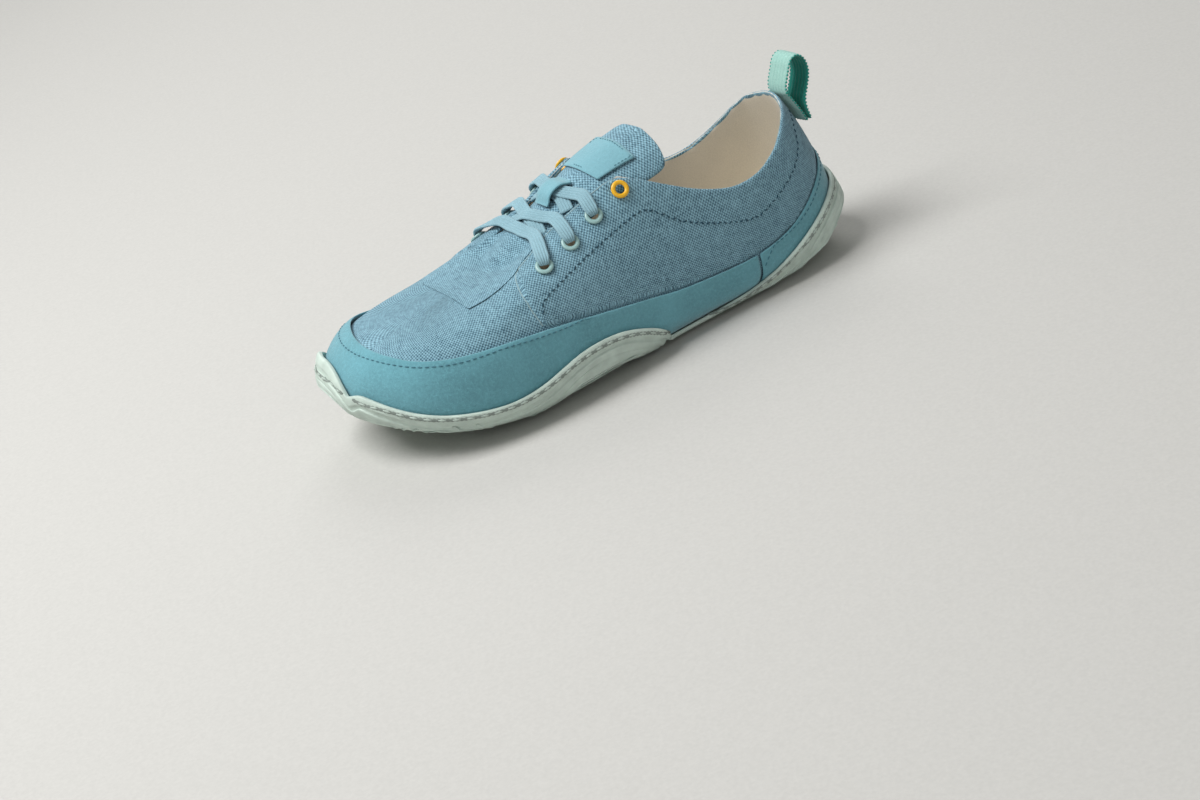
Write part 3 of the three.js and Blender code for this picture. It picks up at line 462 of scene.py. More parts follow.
# Paint: the size, depth and shade of its mottle
PAINT_SIZE, PAINT_DEPTH, PAINT_SHADE = 1.5 * MM, 0.05 * MM, 0.85


def canvas_finish(name, light, dark, pitch):
    """Washed canvas: two shades of thread, slubs, and paler worn patches."""
    made = Finish(name, roughness=0.92, sheen=0.15)
    cloth = made.cloth()
    weave = made.threads(cloth, pitch)
    weft = made.noise(made.scaled(cloth, (SLUB_DRAWN, 1, 1)), pitch * SLUB_SIZE, 3)
    warp = made.noise(made.scaled(cloth, (1, SLUB_DRAWN, 1)), pitch * SLUB_SIZE, 3)
    slub = made.maths("MULTIPLY", made.maths("ADD", weft, warp), 0.5)
    speck = made.between(made.maths("ADD", made.maths("MULTIPLY", weave, 0.5), slub), 0.5, 0.98)
    patch = made.between(made.noise(made.place(), WORN_SIZE, 4), 0.3, 0.75)
    pale = tuple(min(1, c * 1.25 + 0.02) for c in light)
    made.colour(made.mix(made.maths("MULTIPLY", patch, 0.15), made.mix(speck, dark, light), pale))
    fold = made.maths("MULTIPLY", made.noise(made.place(), FOLD_SIZE, 1), 3)
    made.bump(made.maths("ADD", made.maths("ADD", weave, slub), fold), CANVAS_DEPTH, 0.9)
    return made.material


def suede_finish(name, colour, contrast=1.0):
    """Brushed suede: a fine nap that lies in soft patches."""
    made = Finish(name, roughness=0.95, sheen=0.35, specular=0.15)
    place = made.place()
    nap = made.noise(place, NAP_SIZE, 4)
    patch = made.noise(place, SUEDE_PATCH, 4)
    speck = made.between(made.noise(place, SPECK_SIZE, 5), 0.35, 0.7)
    dark = shaded(colour, 1 - 0.2 * contrast)
    pale = tuple(min(1, c) for c in shaded(colour, 1 + 0.22 * contrast))
    base = made.mix(made.between(patch, 0.3, 0.7), dark, colour)
    made.colour(made.mix(made.maths("MULTIPLY", speck, made.between(nap, 0.3, 0.7)), base, pale))
    made.bump(made.maths("ADD", nap, made.maths("MULTIPLY", speck, 0.5)), NAP_DEPTH, 0.6)
    return made.material


def rubber_finish(name, colour):
    """Matt moulded rubber, a little mottled and scuffed."""
    made = Finish(name, roughness=0.55, specular=0.4)
    place = made.place()
    mottle = made.between(made.noise(place, MOTTLE_SIZE, 5), 0.3, 0.75)
    grain = made.noise(place, GRAIN_SIZE, 3)
    made.colour(made.mix(mottle, shaded(colour, DUST_SHADE), colour))
    made.bump(grain, GRAIN_DEPTH, 0.5)
    return made.material


def cloth_finish(name, colour, pitch, contrast=0.3):
    """A finer plain cloth, for lining, thread, lace and webbing."""
    made = Finish(name, roughness=0.9, sheen=0.2)
    place = made.place()
    fine = made.noise(place, pitch, 3)
    patch = made.noise(place, CLOTH_PATCH, 3)
    share = made.maths("MULTIPLY", made.maths("ADD", made.between(fine, 0.3, 0.7), patch), 0.6)
    made.colour(made.mix(share, shaded(colour, 1 - contrast), colour))
    made.bump(fine, CLOTH_DEPTH, 0.7)
    return made.material


def plain_finish(name, colour, roughness, specular=0.4):
    """Paint or moulding with a faint mottle."""
    made = Finish(name, roughness, specular=specular)
    mottle = made.noise(made.place(), PAINT_SIZE, 3)
    made.colour(made.mix(mottle, shaded(colour, PAINT_SHADE), colour))
    made.bump(mottle, PAINT_DEPTH, 0.3)
    return made.material


# What a user may change


def colour_of(name, description, shade):
    return FloatVectorProperty(
        name=name, description=description, default=paint(*shade),
        subtype="COLOR", size=3, min=0, max=1,
    )


def length_of(name, description, default):
    return FloatProperty(name=name, description=description, default=default, min=0, unit="LENGTH")


class ShoeSizes(bpy.types.PropertyGroup):
    """Sizes of the sewing, weave and ridges."""

    weave_pitch: length_of("Weave pitch", "Width of two threads of the canvas", 1.6 * MM)
    stitch_length: length_of("Stitch length", "Length of one stitch of the seams", 2.3 * MM)
    stitch_step: length_of("Stitch step", "From one stitch to the next", 3.0 * MM)
    sole_stitch_length: length_of("Sole stitch", "Length of a stitch in the channel", 4.2 * MM)
    sole_stitch_step: length_of("Sole stitch step", "From one sole stitch to the next", 6.2 * MM)
    lace_width: length_of("Lace width", "Width of the flat laces", 6.4 * MM)
    lace_thickness: length_of("Lace thickness", "Thickness of the flat laces", 1.7 * MM)
    ridge_pitch: length_of("Ridge pitch", "From one ridge of the sole to the next", 3.0 * MM)
    ridge_height: length_of("Ridge height", "How far the sole's ridges stand out", 0.5 * MM)
    lace_ribs: IntProperty(name="Lace ribs", description="Ribs along a lace", default=5, min=2)


class ShoeColours(bpy.types.PropertyGroup):
    """Colours of the cloth, suede, rubber and trim."""

    canvas: colour_of("Canvas", "Lighter thread of the canvas", (142, 184, 200))
    canvas_dark: colour_of("Canvas shade", "Darker thread of the canvas", (40, 78, 96))
    suede: colour_of("Suede", "Band round the foot", (104, 160, 172))
    rubber: colour_of("Rubber", "Outsole", (200, 216, 206))
    inlay: colour_of("Inlay", "Strip in the sole's split", (232, 92, 48))
    lining: colour_of("Lining", "Lining and insole", (232, 224, 208))
    lace: colour_of("Lace", "Laces", (142, 180, 192))
    webbing: colour_of("Webbing", "Outside of the pull loop", (156, 200, 190))
    webbing_inside: colour_of("Webbing inside", "Inside of the pull loop", (40, 150, 136))
    eyelet: colour_of("Eyelets", "The three lower pairs", (150, 186, 184))
    eyelet_top: colour_of("Top eyelets", "The top pair", (240, 182, 26))
    label: colour_of("Label", "Patch on the tongue", (118, 168, 180))
    facing_edge: colour_of("Cut edge", "Pale backing at the facing's cut edge", (150, 178, 184))
    thread: colour_of("Thread", "Sewing thread of the seams", (38, 78, 94))
    thread_pale: colour_of("Band thread", "Sewing thread on the band", (70, 122, 136))
    floor: colour_of("Floor", "The plain floor", (196, 195, 191))


def sizes():
    return bpy.context.scene.shoe_sizes


def colours():
    return bpy.context.scene.shoe_colours


# Sole

# Pads of ridges under the foot: centre, half length and width, and turn in degrees
PADS = [
    (0.048, -0.017, 0.034, 0.027, 10),
    (0.104, -0.024, 0.025, 0.019, -12),
    (0.100, 0.026, 0.026, 0.018, 24),
    (0.032, 0.033, 0.038, 0.014, 4),
    (-0.111, -0.014, 0.021, 0.018, 0),
    (-0.101, 0.019, 0.026, 0.012, -6),
    (-0.052, -0.010, 0.034, 0.012, 4),
]
PAD_SQUARE = 2.6


PAD_POINTS = 56
FEWEST_POINTS = 4

# A ridge's section and its width against the pitch, then how steep and how high the ground may be
RIDGE_PROFILE = [(-1, 0.4), (-1, -0.1), (-0.35, -1), (0.35, -1), (1, -0.1), (1, 0.4)]
RIDGE_SHARE = 0.6
LEAST_DOWNWARD = 0.6
HIGHEST_RIDGE = 22 * MM


def pad_point(pad, share, size):
    """A place on a pad's rounded outline, shrunk towards its centre by size."""
    x, y, half_x, half_y, turn = pad
    angle = 2 * math.pi * share
    c, s = math.cos(angle), math.sin(angle)
    round_off = (abs(c) ** PAD_SQUARE + abs(s) ** PAD_SQUARE) ** (-1 / PAD_SQUARE)
    u, v = c * half_x * size * round_off, s * half_y * size * round_off
    c, s = math.cos(math.radians(turn)), math.sin(math.radians(turn))
    return Vector((x + u * c - v * s, y + u * s + v * c, 0))


def sole_ridges(mesh, tree):
    """Ridges round the middle of each pad, laid on the underside and broken at its grooves."""
    width = sizes().ridge_pitch * RIDGE_SHARE
    for pad in PADS:
        for ring in range(int(pad[3] / sizes().ridge_pitch)):
            size = 1 - ring * sizes().ridge_pitch / pad[3]
            runs, run = [], []
            for i in range(PAD_POINTS + 1):
                spot = pad_point(pad, i / PAD_POINTS, size)
                hit, normal, _, _ = tree.ray_cast(Vector((spot.x, spot.y, -UNDERNEATH)), UP)
                if hit and abs(normal.z) > LEAST_DOWNWARD and hit.z < HIGHEST_RIDGE:
                    run.append(hit)
                else:
                    runs.append(run)
                    run = []
            for run in [*runs, run]:
                if len(run) < FEWEST_POINTS:
                    continue
                stations = [
                    (point, way_at(run, i), UP, width, sizes().ridge_height * 2)
                    for i, point in enumerate(run)
                ]
                sweep(mesh, stations, RIDGE_PROFILE)


# The highest that the sole's rim is looked for, and how far under the rim its channel runs
RIM_SEARCH = 40 * MM
CHANNEL_DROP = 1.6 * MM

# The channel's dark bed is painted shade for the groove, laid in short pieces: their step, and
# their length, width and height
CHANNEL_STEP = 2 * MM
CHANNEL_PIECE = (3.4 * MM, 1.9 * MM, 0.3 * MM)
CHANNEL_PAINTED_SHADE = 0.45

# Width and height of the stitches in it, and their shade against the rubber
SOLE_STITCH = (1.1 * MM, 0.9 * MM)
SOLE_STITCH_SHADE = 0.85


class SHOE_OT_sole(bpy.types.Operator):
    """Rubber outsole with its channel and ridges, the bright strip in its split, and the insole"""

    bl_idname = "shoe.sole"
    bl_label = "Sole"

    def execute(self, context):
        rubber = rubber_finish("rubber", colours().rubber)
        body = merged_copy("outsole")
        sole = finish_piece(body, "outsole_rubber", [rubber], ["outsole"], levels=2)
        tree = piece_surface(sole)

        ridges = bmesh.new()
        sole_ridges(ridges, tree)
        bmesh.ops.recalc_face_normals(ridges, faces=ridges.faces)
        finish_piece(ridges, "outsole_ridges", [rubber])

        strip = merged_copy("sole_inlay")
        bright = plain_finish("inlay", colours().inlay, 0.5)
        finish_piece(strip, "inlay_strip", [bright], ["sole_inlay"], levels=1)

        bed = merged_copy("insole")
        cover = cloth_finish("insole_cloth", colours().lining, INSOLE_GRAIN)
        bed_piece = finish_piece(bed, "insole_bed", [cover], ["insole"], levels=1)

        seams = bmesh.new()
        channel = bmesh.new()
        for run in runs_of(top_row(tree, CHANNEL_DROP, RIM_SEARCH)):
            sew(channel, on_skin(tree, run, CHANNEL_STEP), *CHANNEL_PIECE)
            places = on_skin(tree, run, sizes().sole_stitch_step, LIFT)
            sew(seams, places, sizes().sole_stitch_length, *SOLE_STITCH)
        tone = shaded(colours().rubber, SOLE_STITCH_SHADE)
        thread = cloth_finish("sole_thread", tone, THREAD_GRAIN)
        finish_piece(seams, "sole_stitches", [thread])
        # Painted shade: the channel's bed is the rubber made darker, for the shadow in the groove
        shade = rubber_finish("channel", shaded(colours().rubber, CHANNEL_PAINTED_SHADE))
        finish_piece(channel, "sole_channel_painted_shade", [shade])
        return {"FINISHED"}


# Upper

# The seam round the throat and the collar, on the outer side; the inner side mirrors it
COLLAR_SEAM = [
    (0.0495, 0.0410, 0.0440),
    (0.0455, 0.0388, 0.0492),
    (0.0286, 0.0352, 0.0540),
    (0.0108, 0.0319, 0.0581),
    (-0.0048, 0.0306, 0.0619),
    (-0.0170, 0.0296, 0.0634),
    (-0.0238, 0.0309, 0.0597),
    (-0.0336, 0.0331, 0.0519),
    (-0.0509, 0.0347, 0.0437),
    (-0.0702, 0.0349, 0.0380),
    (-0.0837, 0.0332, 0.0410),
    (-0.0984, 0.0293, 0.0478),
    (-0.1072, 0.0247, 0.0555),
    (-0.1124, 0.0183, 0.0660),
    (-0.1160, 0.0060, 0.0700),
]


# The cut edge of the outer facing, from the collar down to the band
FACING_EDGE = [
    (-0.0139, 0.0165, 0.0790),
    (-0.0080, 0.0192, 0.0792),
    (0.0051, 0.0171, 0.0745),
    (0.0210, 0.0154, 0.0685),
    (0.0296, 0.0163, 0.0652),
    (0.0424, 0.0196, 0.0612),
    (0.0475, 0.0211, 0.0581),
    (0.0518, 0.0293, 0.0549),
    (0.0531, 0.0378, 0.0485),
    (0.0516, 0.0426, 0.0401),
]


# How far inwards a face has to look to be lining, in front of the throat's middle and behind it
LINED_IN_FRONT, LINED_BEHIND = -0.8, -0.15

# Width and height of the stitches and of the cut edge, and its pieces' step and length
COLLAR_STITCH = (0.9 * MM, 0.7 * MM)
COLLAR_LIFT = 0.1 * MM
COLLAR_LEAN = 0.5
BAND_STITCH = (0.75 * MM, 0.6 * MM)
BAND_SEAM_DROP = 1.9 * MM
BAND_SEARCH = 75 * MM
CUT_EDGE_STEP = 1.2 * MM
CUT_EDGE_PIECE = (2.2 * MM, 0.7 * MM, 0.5 * MM)


def mirrored(route):
    return [(x, -y, z) for x, y, z in route]


class SHOE_OT_upper(bpy.types.Operator):
    """Canvas upper with its lining, pale cut edge and seams"""

    bl_idname = "shoe.upper"
    bl_label = "Upper"

    def execute(self, context):
        canvas = canvas_finish(
            "shoe_canvas", colours().canvas, colours().canvas_dark, sizes().weave_pitch
        )
        lining = cloth_finish("lining", colours().lining, LINING_GRAIN, contrast=0.18)
        shell = merged_copy("upper")
        cloth_map(shell)
        sag_cloth(shell)
        for face in shell.faces:
            centre = face.calc_center_median()
            facing = face.normal.dot(outward(centre))
            inside = LINED_IN_FRONT if centre.x > THROAT.x else LINED_BEHIND
            face.material_index = 1 if facing < inside else 0
        piece = finish_piece(shell, "upper_canvas", [canvas, lining], ["upper"], levels=2)

        tree = piece_surface(piece)
        seams = bmesh.new()
        for route in (COLLAR_SEAM, mirrored(COLLAR_SEAM)):
            places = on_skin(tree, smooth_route(route), sizes().stitch_step, COLLAR_LIFT)
            sew(seams, places, sizes().stitch_length, *COLLAR_STITCH, lean=COLLAR_LEAN)
        thread = cloth_finish("seam_thread", colours().thread, THREAD_GRAIN)
        finish_piece(seams, "upper_stitches", [thread])
        edge = bmesh.new()
        sew(edge, on_skin(tree, smooth_route(FACING_EDGE), CUT_EDGE_STEP), *CUT_EDGE_PIECE)
        backing = cloth_finish("facing_edge", colours().facing_edge, THREAD_GRAIN)
        finish_piece(edge, "facing_cut_edge", [backing])
        return {"FINISHED"}


class SHOE_OT_bands(bpy.types.Operator):
    """Suede band round the foot, in two lengths, with its seams"""

    bl_idname = "shoe.bands"
    bl_label = "Suede band"

    def execute(self, context):
        suede = suede_finish("suede", colours().suede)
        seams = bmesh.new()
        for node in ("band_front", "band_heel"):
            band = merged_copy(node)
            sag_cloth(band)
            piece = finish_piece(band, node + "_suede", [suede], [node], levels=2)
            tree = piece_surface(piece)
            for run in runs_of(top_row(tree, BAND_SEAM_DROP, BAND_SEARCH)):
                places = on_skin(tree, run, sizes().stitch_step, LIFT)
                sew(seams, places, sizes().stitch_length, *BAND_STITCH)
        thread = cloth_finish("band_thread", colours().thread_pale, THREAD_GRAIN)
        finish_piece(seams, "band_stitches", [thread])
        return {"FINISHED"}


# Tongue


# The label's seams, just inside its edges
LABEL_SEAMS = [
    [(-0.0258, -0.0132, 0.0868), (-0.0262, 0.0004, 0.0880), (-0.0266, 0.0138, 0.0829)],
    [(-0.0086, -0.0143, 0.0813), (-0.0072, -0.0008, 0.0834), (-0.0088, 0.0129, 0.0803)],
    [(-0.0258, -0.0132, 0.0868), (-0.0171, -0.0138, 0.0842), (-0.0086, -0.0143, 0.0813)],
    [(-0.0266, 0.0138, 0.0829), (-0.0176, 0.0134, 0.0817), (-0.0088, 0.0129, 0.0803)],
]

# The gusset that joins the tongue to the vamp: its rear and front end, and half its width along it
GUSSET_REAR, GUSSET_FRONT = 0.016, 0.074
GUSSET_HALF = [0.0130, 0.0140, 0.0158, 0.0182, 0.0205, 0.0220, 0.0225, 0.0215]
GUSSET_ROWS, GUSSET_COLUMNS = 40, 26
GUSSET_SMOOTHING = 16
GUSSET_LIFT = 0.05 * MM
GUSSET_THICKNESS = 0.25 * MM
SHARP_ANGLE = math.radians(40)

# Step, length, width and height of the label's stitches
LABEL_STEP = 1.9 * MM
LABEL_STITCH = (1.4 * MM, 0.5 * MM, 0.5 * MM)


def gusset(trees):
    """A sheet of canvas laid over the tongue's root and the vamp in front of it."""
    sheet = bmesh.new()
    bmesh.ops.create_grid(sheet, x_segments=GUSSET_ROWS, y_segments=GUSSET_COLUMNS, size=1)
    ground = {}
    for vert in sheet.verts:
        share = (vert.co.x + 1) / 2
        place = share * (len(GUSSET_HALF) - 1)
        i = min(int(place), len(GUSSET_HALF) - 2)
        half = GUSSET_HALF[i] + (GUSSET_HALF[i + 1] - GUSSET_HALF[i]) * (place - i)
        x = GUSSET_REAR + (GUSSET_FRONT - GUSSET_REAR) * share
        y = vert.co.y * half
        hits = [tree.ray_cast(Vector((x, y, OUTSIDE)), -UP)[0] for tree in trees]
        vert.co = max((hit for hit in hits if hit), key=lambda hit: hit.z)
        ground[vert] = vert.co.z
    for _ in range(GUSSET_SMOOTHING):
        bmesh.ops.smooth_vert(sheet, verts=sheet.verts, factor=0.5, use_axis_z=True)
        for vert in sheet.verts:
            vert.co.z = max(vert.co.z, ground[vert])
    for vert in sheet.verts:
        vert.co.z += GUSSET_LIFT
    bmesh.ops.recalc_face_normals(sheet, faces=sheet.faces)
    if next(iter(sheet.faces)).normal.z < 0:
        bmesh.ops.reverse_faces(sheet, faces=sheet.faces)
    bmesh.ops.solidify(sheet, geom=sheet.faces, thickness=-GUSSET_THICKNESS)
    for edge in sheet.edges:
        edge.smooth = edge.calc_face_angle(0) < SHARP_ANGLE
    return sheet


class SHOE_OT_tongue(bpy.types.Operator):
    """Canvas tongue with its bare label and the strap that keeps the laces"""

    bl_idname = "shoe.tongue"
    bl_label = "Tongue"

    def execute(self, context):
        canvas = bpy.data.materials["shoe_canvas"]
        tongue = merged_copy("tongue")
        cloth_map(tongue)
        tongue = finish_piece(
            tongue, "tongue_canvas", [canvas], ["tongue"], levels=2
        )

        upper = bpy.data.objects["upper_canvas"]
        sheet = gusset([piece_surface(upper), piece_surface(tongue)])
        cloth_map(sheet)
        finish_piece(sheet, "throat_gusset", [canvas])

        label = merged_copy("tongue_label")
        label_suede = suede_finish("label_suede", colours().label, 0.5)
        finish_piece(label, "label_patch", [label_suede], ["tongue_label"], levels=2)

        tree = surface_of("tongue_label")
        seams = bmesh.new()
        for route in LABEL_SEAMS:
            places = on_skin(tree, smooth_route(route), LABEL_STEP, LIFT)
            sew(seams, places, *LABEL_STITCH)
        thread = cloth_finish("label_thread", colours().thread_pale, THREAD_GRAIN)
        finish_piece(seams, "label_stitches", [thread])

        keeper = merged_copy("lace_keeper")
        finish_piece(keeper, "keeper_strap", [label_suede], ["lace_keeper"], levels=2)
        return {"FINISHED"}


# Eyelets and laces

# Centre and outward direction of each eyelet on the outer side, and then on the inner side
EYELETS = {
    "outer": [
        ((-0.0115, 0.0244, 0.0752), (0.15, 0.85, 0.50)),
        ((0.0047, 0.0248, 0.0693), (0.22, 0.69, 0.69)),
        ((0.0206, 0.0272, 0.0634), (0.14, 0.63, 0.77)),
        ((0.0368, 0.0290, 0.0593), (0.14, 0.52, 0.84)),
    ],
    "inner": [
        ((-0.0115, -0.0245, 0.0771), (0.12, -0.91, 0.39)),
        ((0.0047, -0.0250, 0.0705), (0.21, -0.76, 0.61)),
        ((0.0205, -0.0279, 0.0639), (0.08, -0.73, 0.68)),
        ((0.0366, -0.0305, 0.0598), (0.06, -0.65, 0.76)),
    ],
}
EYELET_HOLE = 2.1 * MM
EYELET_RIM = 4.2 * MM
EYELET_RISE = 1.5 * MM
EYELET_LIFT = 0.5 * MM
EYELET_SECTION = 12
EYELET_STEPS = 28


def eyelet_ring(mesh, centre, normal):
    """A rolled metal ring round a hole."""
    normal = Vector(normal).normalized()
    centre = Vector(centre)
    side = normal.orthogonal().normalized()
    middle = (EYELET_HOLE + EYELET_RIM) / 2
    half = (EYELET_RIM - EYELET_HOLE) / 2
    seat = Matrix((side, normal, side.cross(normal))).transposed().to_4x4()
    size = Matrix.Diagonal((half, EYELET_RISE / 2, 1, 1))
    place = Matrix.Translation(centre + side * middle + normal * EYELET_LIFT) @ seat @ size
    made = bmesh.ops.create_circle(mesh, segments=EYELET_SECTION, radius=1, matrix=place)
    edges = list({e for v in made["verts"] for e in v.link_edges})
    bmesh.ops.spin(
        mesh,
        geom=[*made["verts"], *edges],
        cent=centre,
        axis=normal,
        angle=2 * math.pi,
        steps=EYELET_STEPS,
        use_merge=True,
        use_duplicate=False,
    )


class SHOE_OT_eyelets(bpy.types.Operator):
    """Eight eyelets, the top pair in its own colour"""

    bl_idname = "shoe.eyelets"
    bl_label = "Eyelets"

    def execute(self, context):
        top = plain_finish("eyelet_top", colours().eyelet_top, 0.35, 0.6)
        rest = plain_finish("eyelet_rest", colours().eyelet, 0.35, 0.6)
        for side, seats in EYELETS.items():
            for i, (centre, normal) in enumerate(seats):
                ring = bmesh.new()
                eyelet_ring(ring, centre, normal)
                bmesh.ops.remove_doubles(ring, verts=ring.verts, dist=MERGE_DISTANCE / 2)
                bmesh.ops.recalc_face_normals(ring, faces=ring.faces)
                node = f"eyelet_{side}_{i + 1}"
                metal = rest if i else top
                finish_piece(ring, f"ring_{side}_{i + 1}", [metal], [node])
        return {"FINISHED"}


# Each lace as places and facings along its route, as in the part's own laces
LACES = {
    "lower": [
        [
            ((0.0370, 0.0299, 0.0603), (0.36, 0.92, -0.17)),
            ((0.0366, 0.0293, 0.0624), (0.24, 0.75, 0.61)),
            ((0.0355, 0.0265, 0.0642), (0.14, 0.52, 0.84)),
            ((0.0320, 0.0185, 0.0668), (0.29, 0.21, 0.93)),
            ((0.0298, 0.0116, 0.0681), (0.38, -0.01, 0.93)),
            ((0.0299, 0.0038, 0.0680), (0.38, 0.00, 0.92)),
            ((0.0300, -0.0019, 0.0685), (0.38, 0.00, 0.92)),
            ((0.0299, -0.0076, 0.0684), (0.38, 0.00, 0.92)),
            ((0.0299, -0.0154, 0.0691), (0.39, 0.01, 0.92)),
            ((0.0318, -0.0216, 0.0678), (0.28, -0.27, 0.92)),
            ((0.0350, -0.0287, 0.0649), (0.06, -0.65, 0.76)),
            ((0.0362, -0.0311, 0.0629), (0.18, -0.84, 0.51)),
            ((0.0368, -0.0315, 0.0607), (0.36, -0.89, -0.28)),
        ],
        [
            ((0.0208, 0.0283, 0.0642), (0.13, 0.94, -0.31)),
            ((0.0209, 0.0279, 0.0663), (0.16, 0.88, 0.44)),
            ((0.0206, 0.0255, 0.0683), (0.14, 0.65, 0.75)),
            ((0.0198, 0.0211, 0.0704), (0.24, 0.46, 0.86)),
            ((0.0191, 0.0147, 0.0722), (0.37, 0.19, 0.91)),
            ((0.0202, 0.0098, 0.0721), (0.37, 0.11, 0.92)),
            ((0.0216, 0.0051, 0.0722), (0.36, 0.04, 0.93)),
            ((0.0229, 0.0005, 0.0726), (0.36, -0.01, 0.93)),
            ((0.0238, -0.0039, 0.0721), (0.36, -0.05, 0.93)),
            ((0.0251, -0.0118, 0.0688), (0.36, -0.08, 0.93)),
            ((0.0262, -0.0155, 0.0670), (0.37, -0.07, 0.93)),
        ],
        [
            ((0.0207, -0.0290, 0.0646), (0.14, -0.90, -0.42)),
            ((0.0206, -0.0289, 0.0668), (0.12, -0.94, 0.33)),
            ((0.0202, -0.0268, 0.0691), (0.09, -0.75, 0.66)),
            ((0.0195, -0.0232, 0.0712), (0.20, -0.56, 0.81)),
            ((0.0189, -0.0180, 0.0731), (0.33, -0.28, 0.90)),
            ((0.0200, -0.0133, 0.0726), (0.34, -0.20, 0.92)),
            ((0.0214, -0.0086, 0.0717), (0.35, -0.13, 0.93)),
            ((0.0225, -0.0040, 0.0710), (0.36, -0.07, 0.93)),
            ((0.0234, 0.0004, 0.0706), (0.36, -0.02, 0.93)),
            ((0.0242, 0.0045, 0.0700), (0.37, 0.02, 0.93)),
            ((0.0251, 0.0083, 0.0682), (0.37, 0.03, 0.93)),
            ((0.0263, 0.0119, 0.0660), (0.37, 0.04, 0.93)),
        ],
    ],
    "upper": [
        [
            ((0.0050, 0.0258, 0.0700), (0.14, 0.90, -0.41)),
            ((0.0052, 0.0257, 0.0721), (0.23, 0.91, 0.34)),
            ((0.0051, 0.0235, 0.0744), (0.22, 0.71, 0.67)),
            ((0.0046, 0.0210, 0.0761), (0.31, 0.58, 0.76)),
            ((0.0042, 0.0174, 0.0776), (0.42, 0.40, 0.82)),
            ((0.0051, 0.0122, 0.0777), (0.41, 0.28, 0.87)),
            ((0.0065, 0.0067, 0.0779), (0.40, 0.16, 0.90)),
            ((0.0078, 0.0012, 0.0785), (0.39, 0.02, 0.92)),
            ((0.0085, -0.0039, 0.0780), (0.38, -0.10, 0.92)),
            ((0.0098, -0.0126, 0.0744), (0.35, -0.30, 0.89)),
            ((0.0111, -0.0162, 0.0724), (0.33, -0.37, 0.87)),
        ],
        [
            ((0.0050, -0.0262, 0.0711), (0.15, -0.85, -0.50)),
            ((0.0052, -0.0262, 0.0732), (0.22, -0.94, 0.24)),
            ((0.0049, -0.0243, 0.0757), (0.21, -0.78, 0.59)),
            ((0.0045, -0.0224, 0.0770), (0.30, -0.65, 0.70)),
            ((0.0041, -0.0199, 0.0780), (0.40, -0.46, 0.79)),
            ((0.0050, -0.0148, 0.0779), (0.39, -0.36, 0.85)),
            ((0.0062, -0.0093, 0.0774), (0.39, -0.25, 0.89)),
            ((0.0073, -0.0040, 0.0769), (0.39, -0.11, 0.91)),
            ((0.0081, 0.0010, 0.0765), (0.39, 0.01, 0.92)),
            ((0.0088, 0.0058, 0.0759), (0.38, 0.12, 0.92)),
            ((0.0099, 0.0098, 0.0741), (0.38, 0.20, 0.90)),
            ((0.0111, 0.0135, 0.0718), (0.37, 0.27, 0.89)),
        ],
    ],
}


# A ribbed strip: points across each rib, then a rib's depth and how much the strip thins towards
# its edges, as shares of its thickness
RIB_POINTS = 4
RIB_DEPTH = 0.6
EDGE_THINNING = 0.45

# A lace's width at its end and at each station after that, as shares of the whole
LACE_END = [0.6, 0.65, 0.7, 0.75, 0.8, 0.85, 0.9, 0.95]


def ribbed_profile(ribs):
    """A flat strip's section: rounded ribs side by side, above and below."""
    above = []
    count = ribs * RIB_POINTS
    for i in range(count + 1):
        x = -1 + 2 * i / count
        rib = abs(math.sin(math.pi * i / RIB_POINTS))
        thinned = 1 - EDGE_THINNING * abs(x) ** 4
        above.append((x, (1 - RIB_DEPTH + RIB_DEPTH * rib) * thinned))
    below = [(x, -y) for x, y in reversed(above)]
    return [*above, *below]


class SHOE_OT_laces(bpy.types.Operator):
    """Flat ribbed laces through the three lower pairs of eyelets"""

    bl_idname = "shoe.laces"
    bl_label = "Laces"

    def execute(self, context):
        cotton = cloth_finish("lace_cotton", colours().lace, LACE_GRAIN, contrast=0.35)
        profile = ribbed_profile(sizes().lace_ribs)
        section = sizes().lace_width, sizes().lace_thickness
        for name, strands in LACES.items():
            lace = bmesh.new()
            for strand in strands:
                points, normals = zip(*strand)
                stations = stations_of(points, normals, *section)
                through_both = name == "lower" and strand is strands[0]
                for i, (point, along, normal, width, thickness) in enumerate(stations):
                    near = min(i, len(stations) - 1 - i) if through_both else i
                    share = LACE_END[near] if near < len(LACE_END) else 1
                    stations[i] = (point, along, normal, width * share, thickness)
                sweep(lace, stations, profile)
            bmesh.ops.recalc_face_normals(lace, faces=lace.faces)
            finish_piece(lace, f"lace_{name}_cotton", [cotton], ["lace_" + name])
        return {"FINISHED"}


# Pull loop

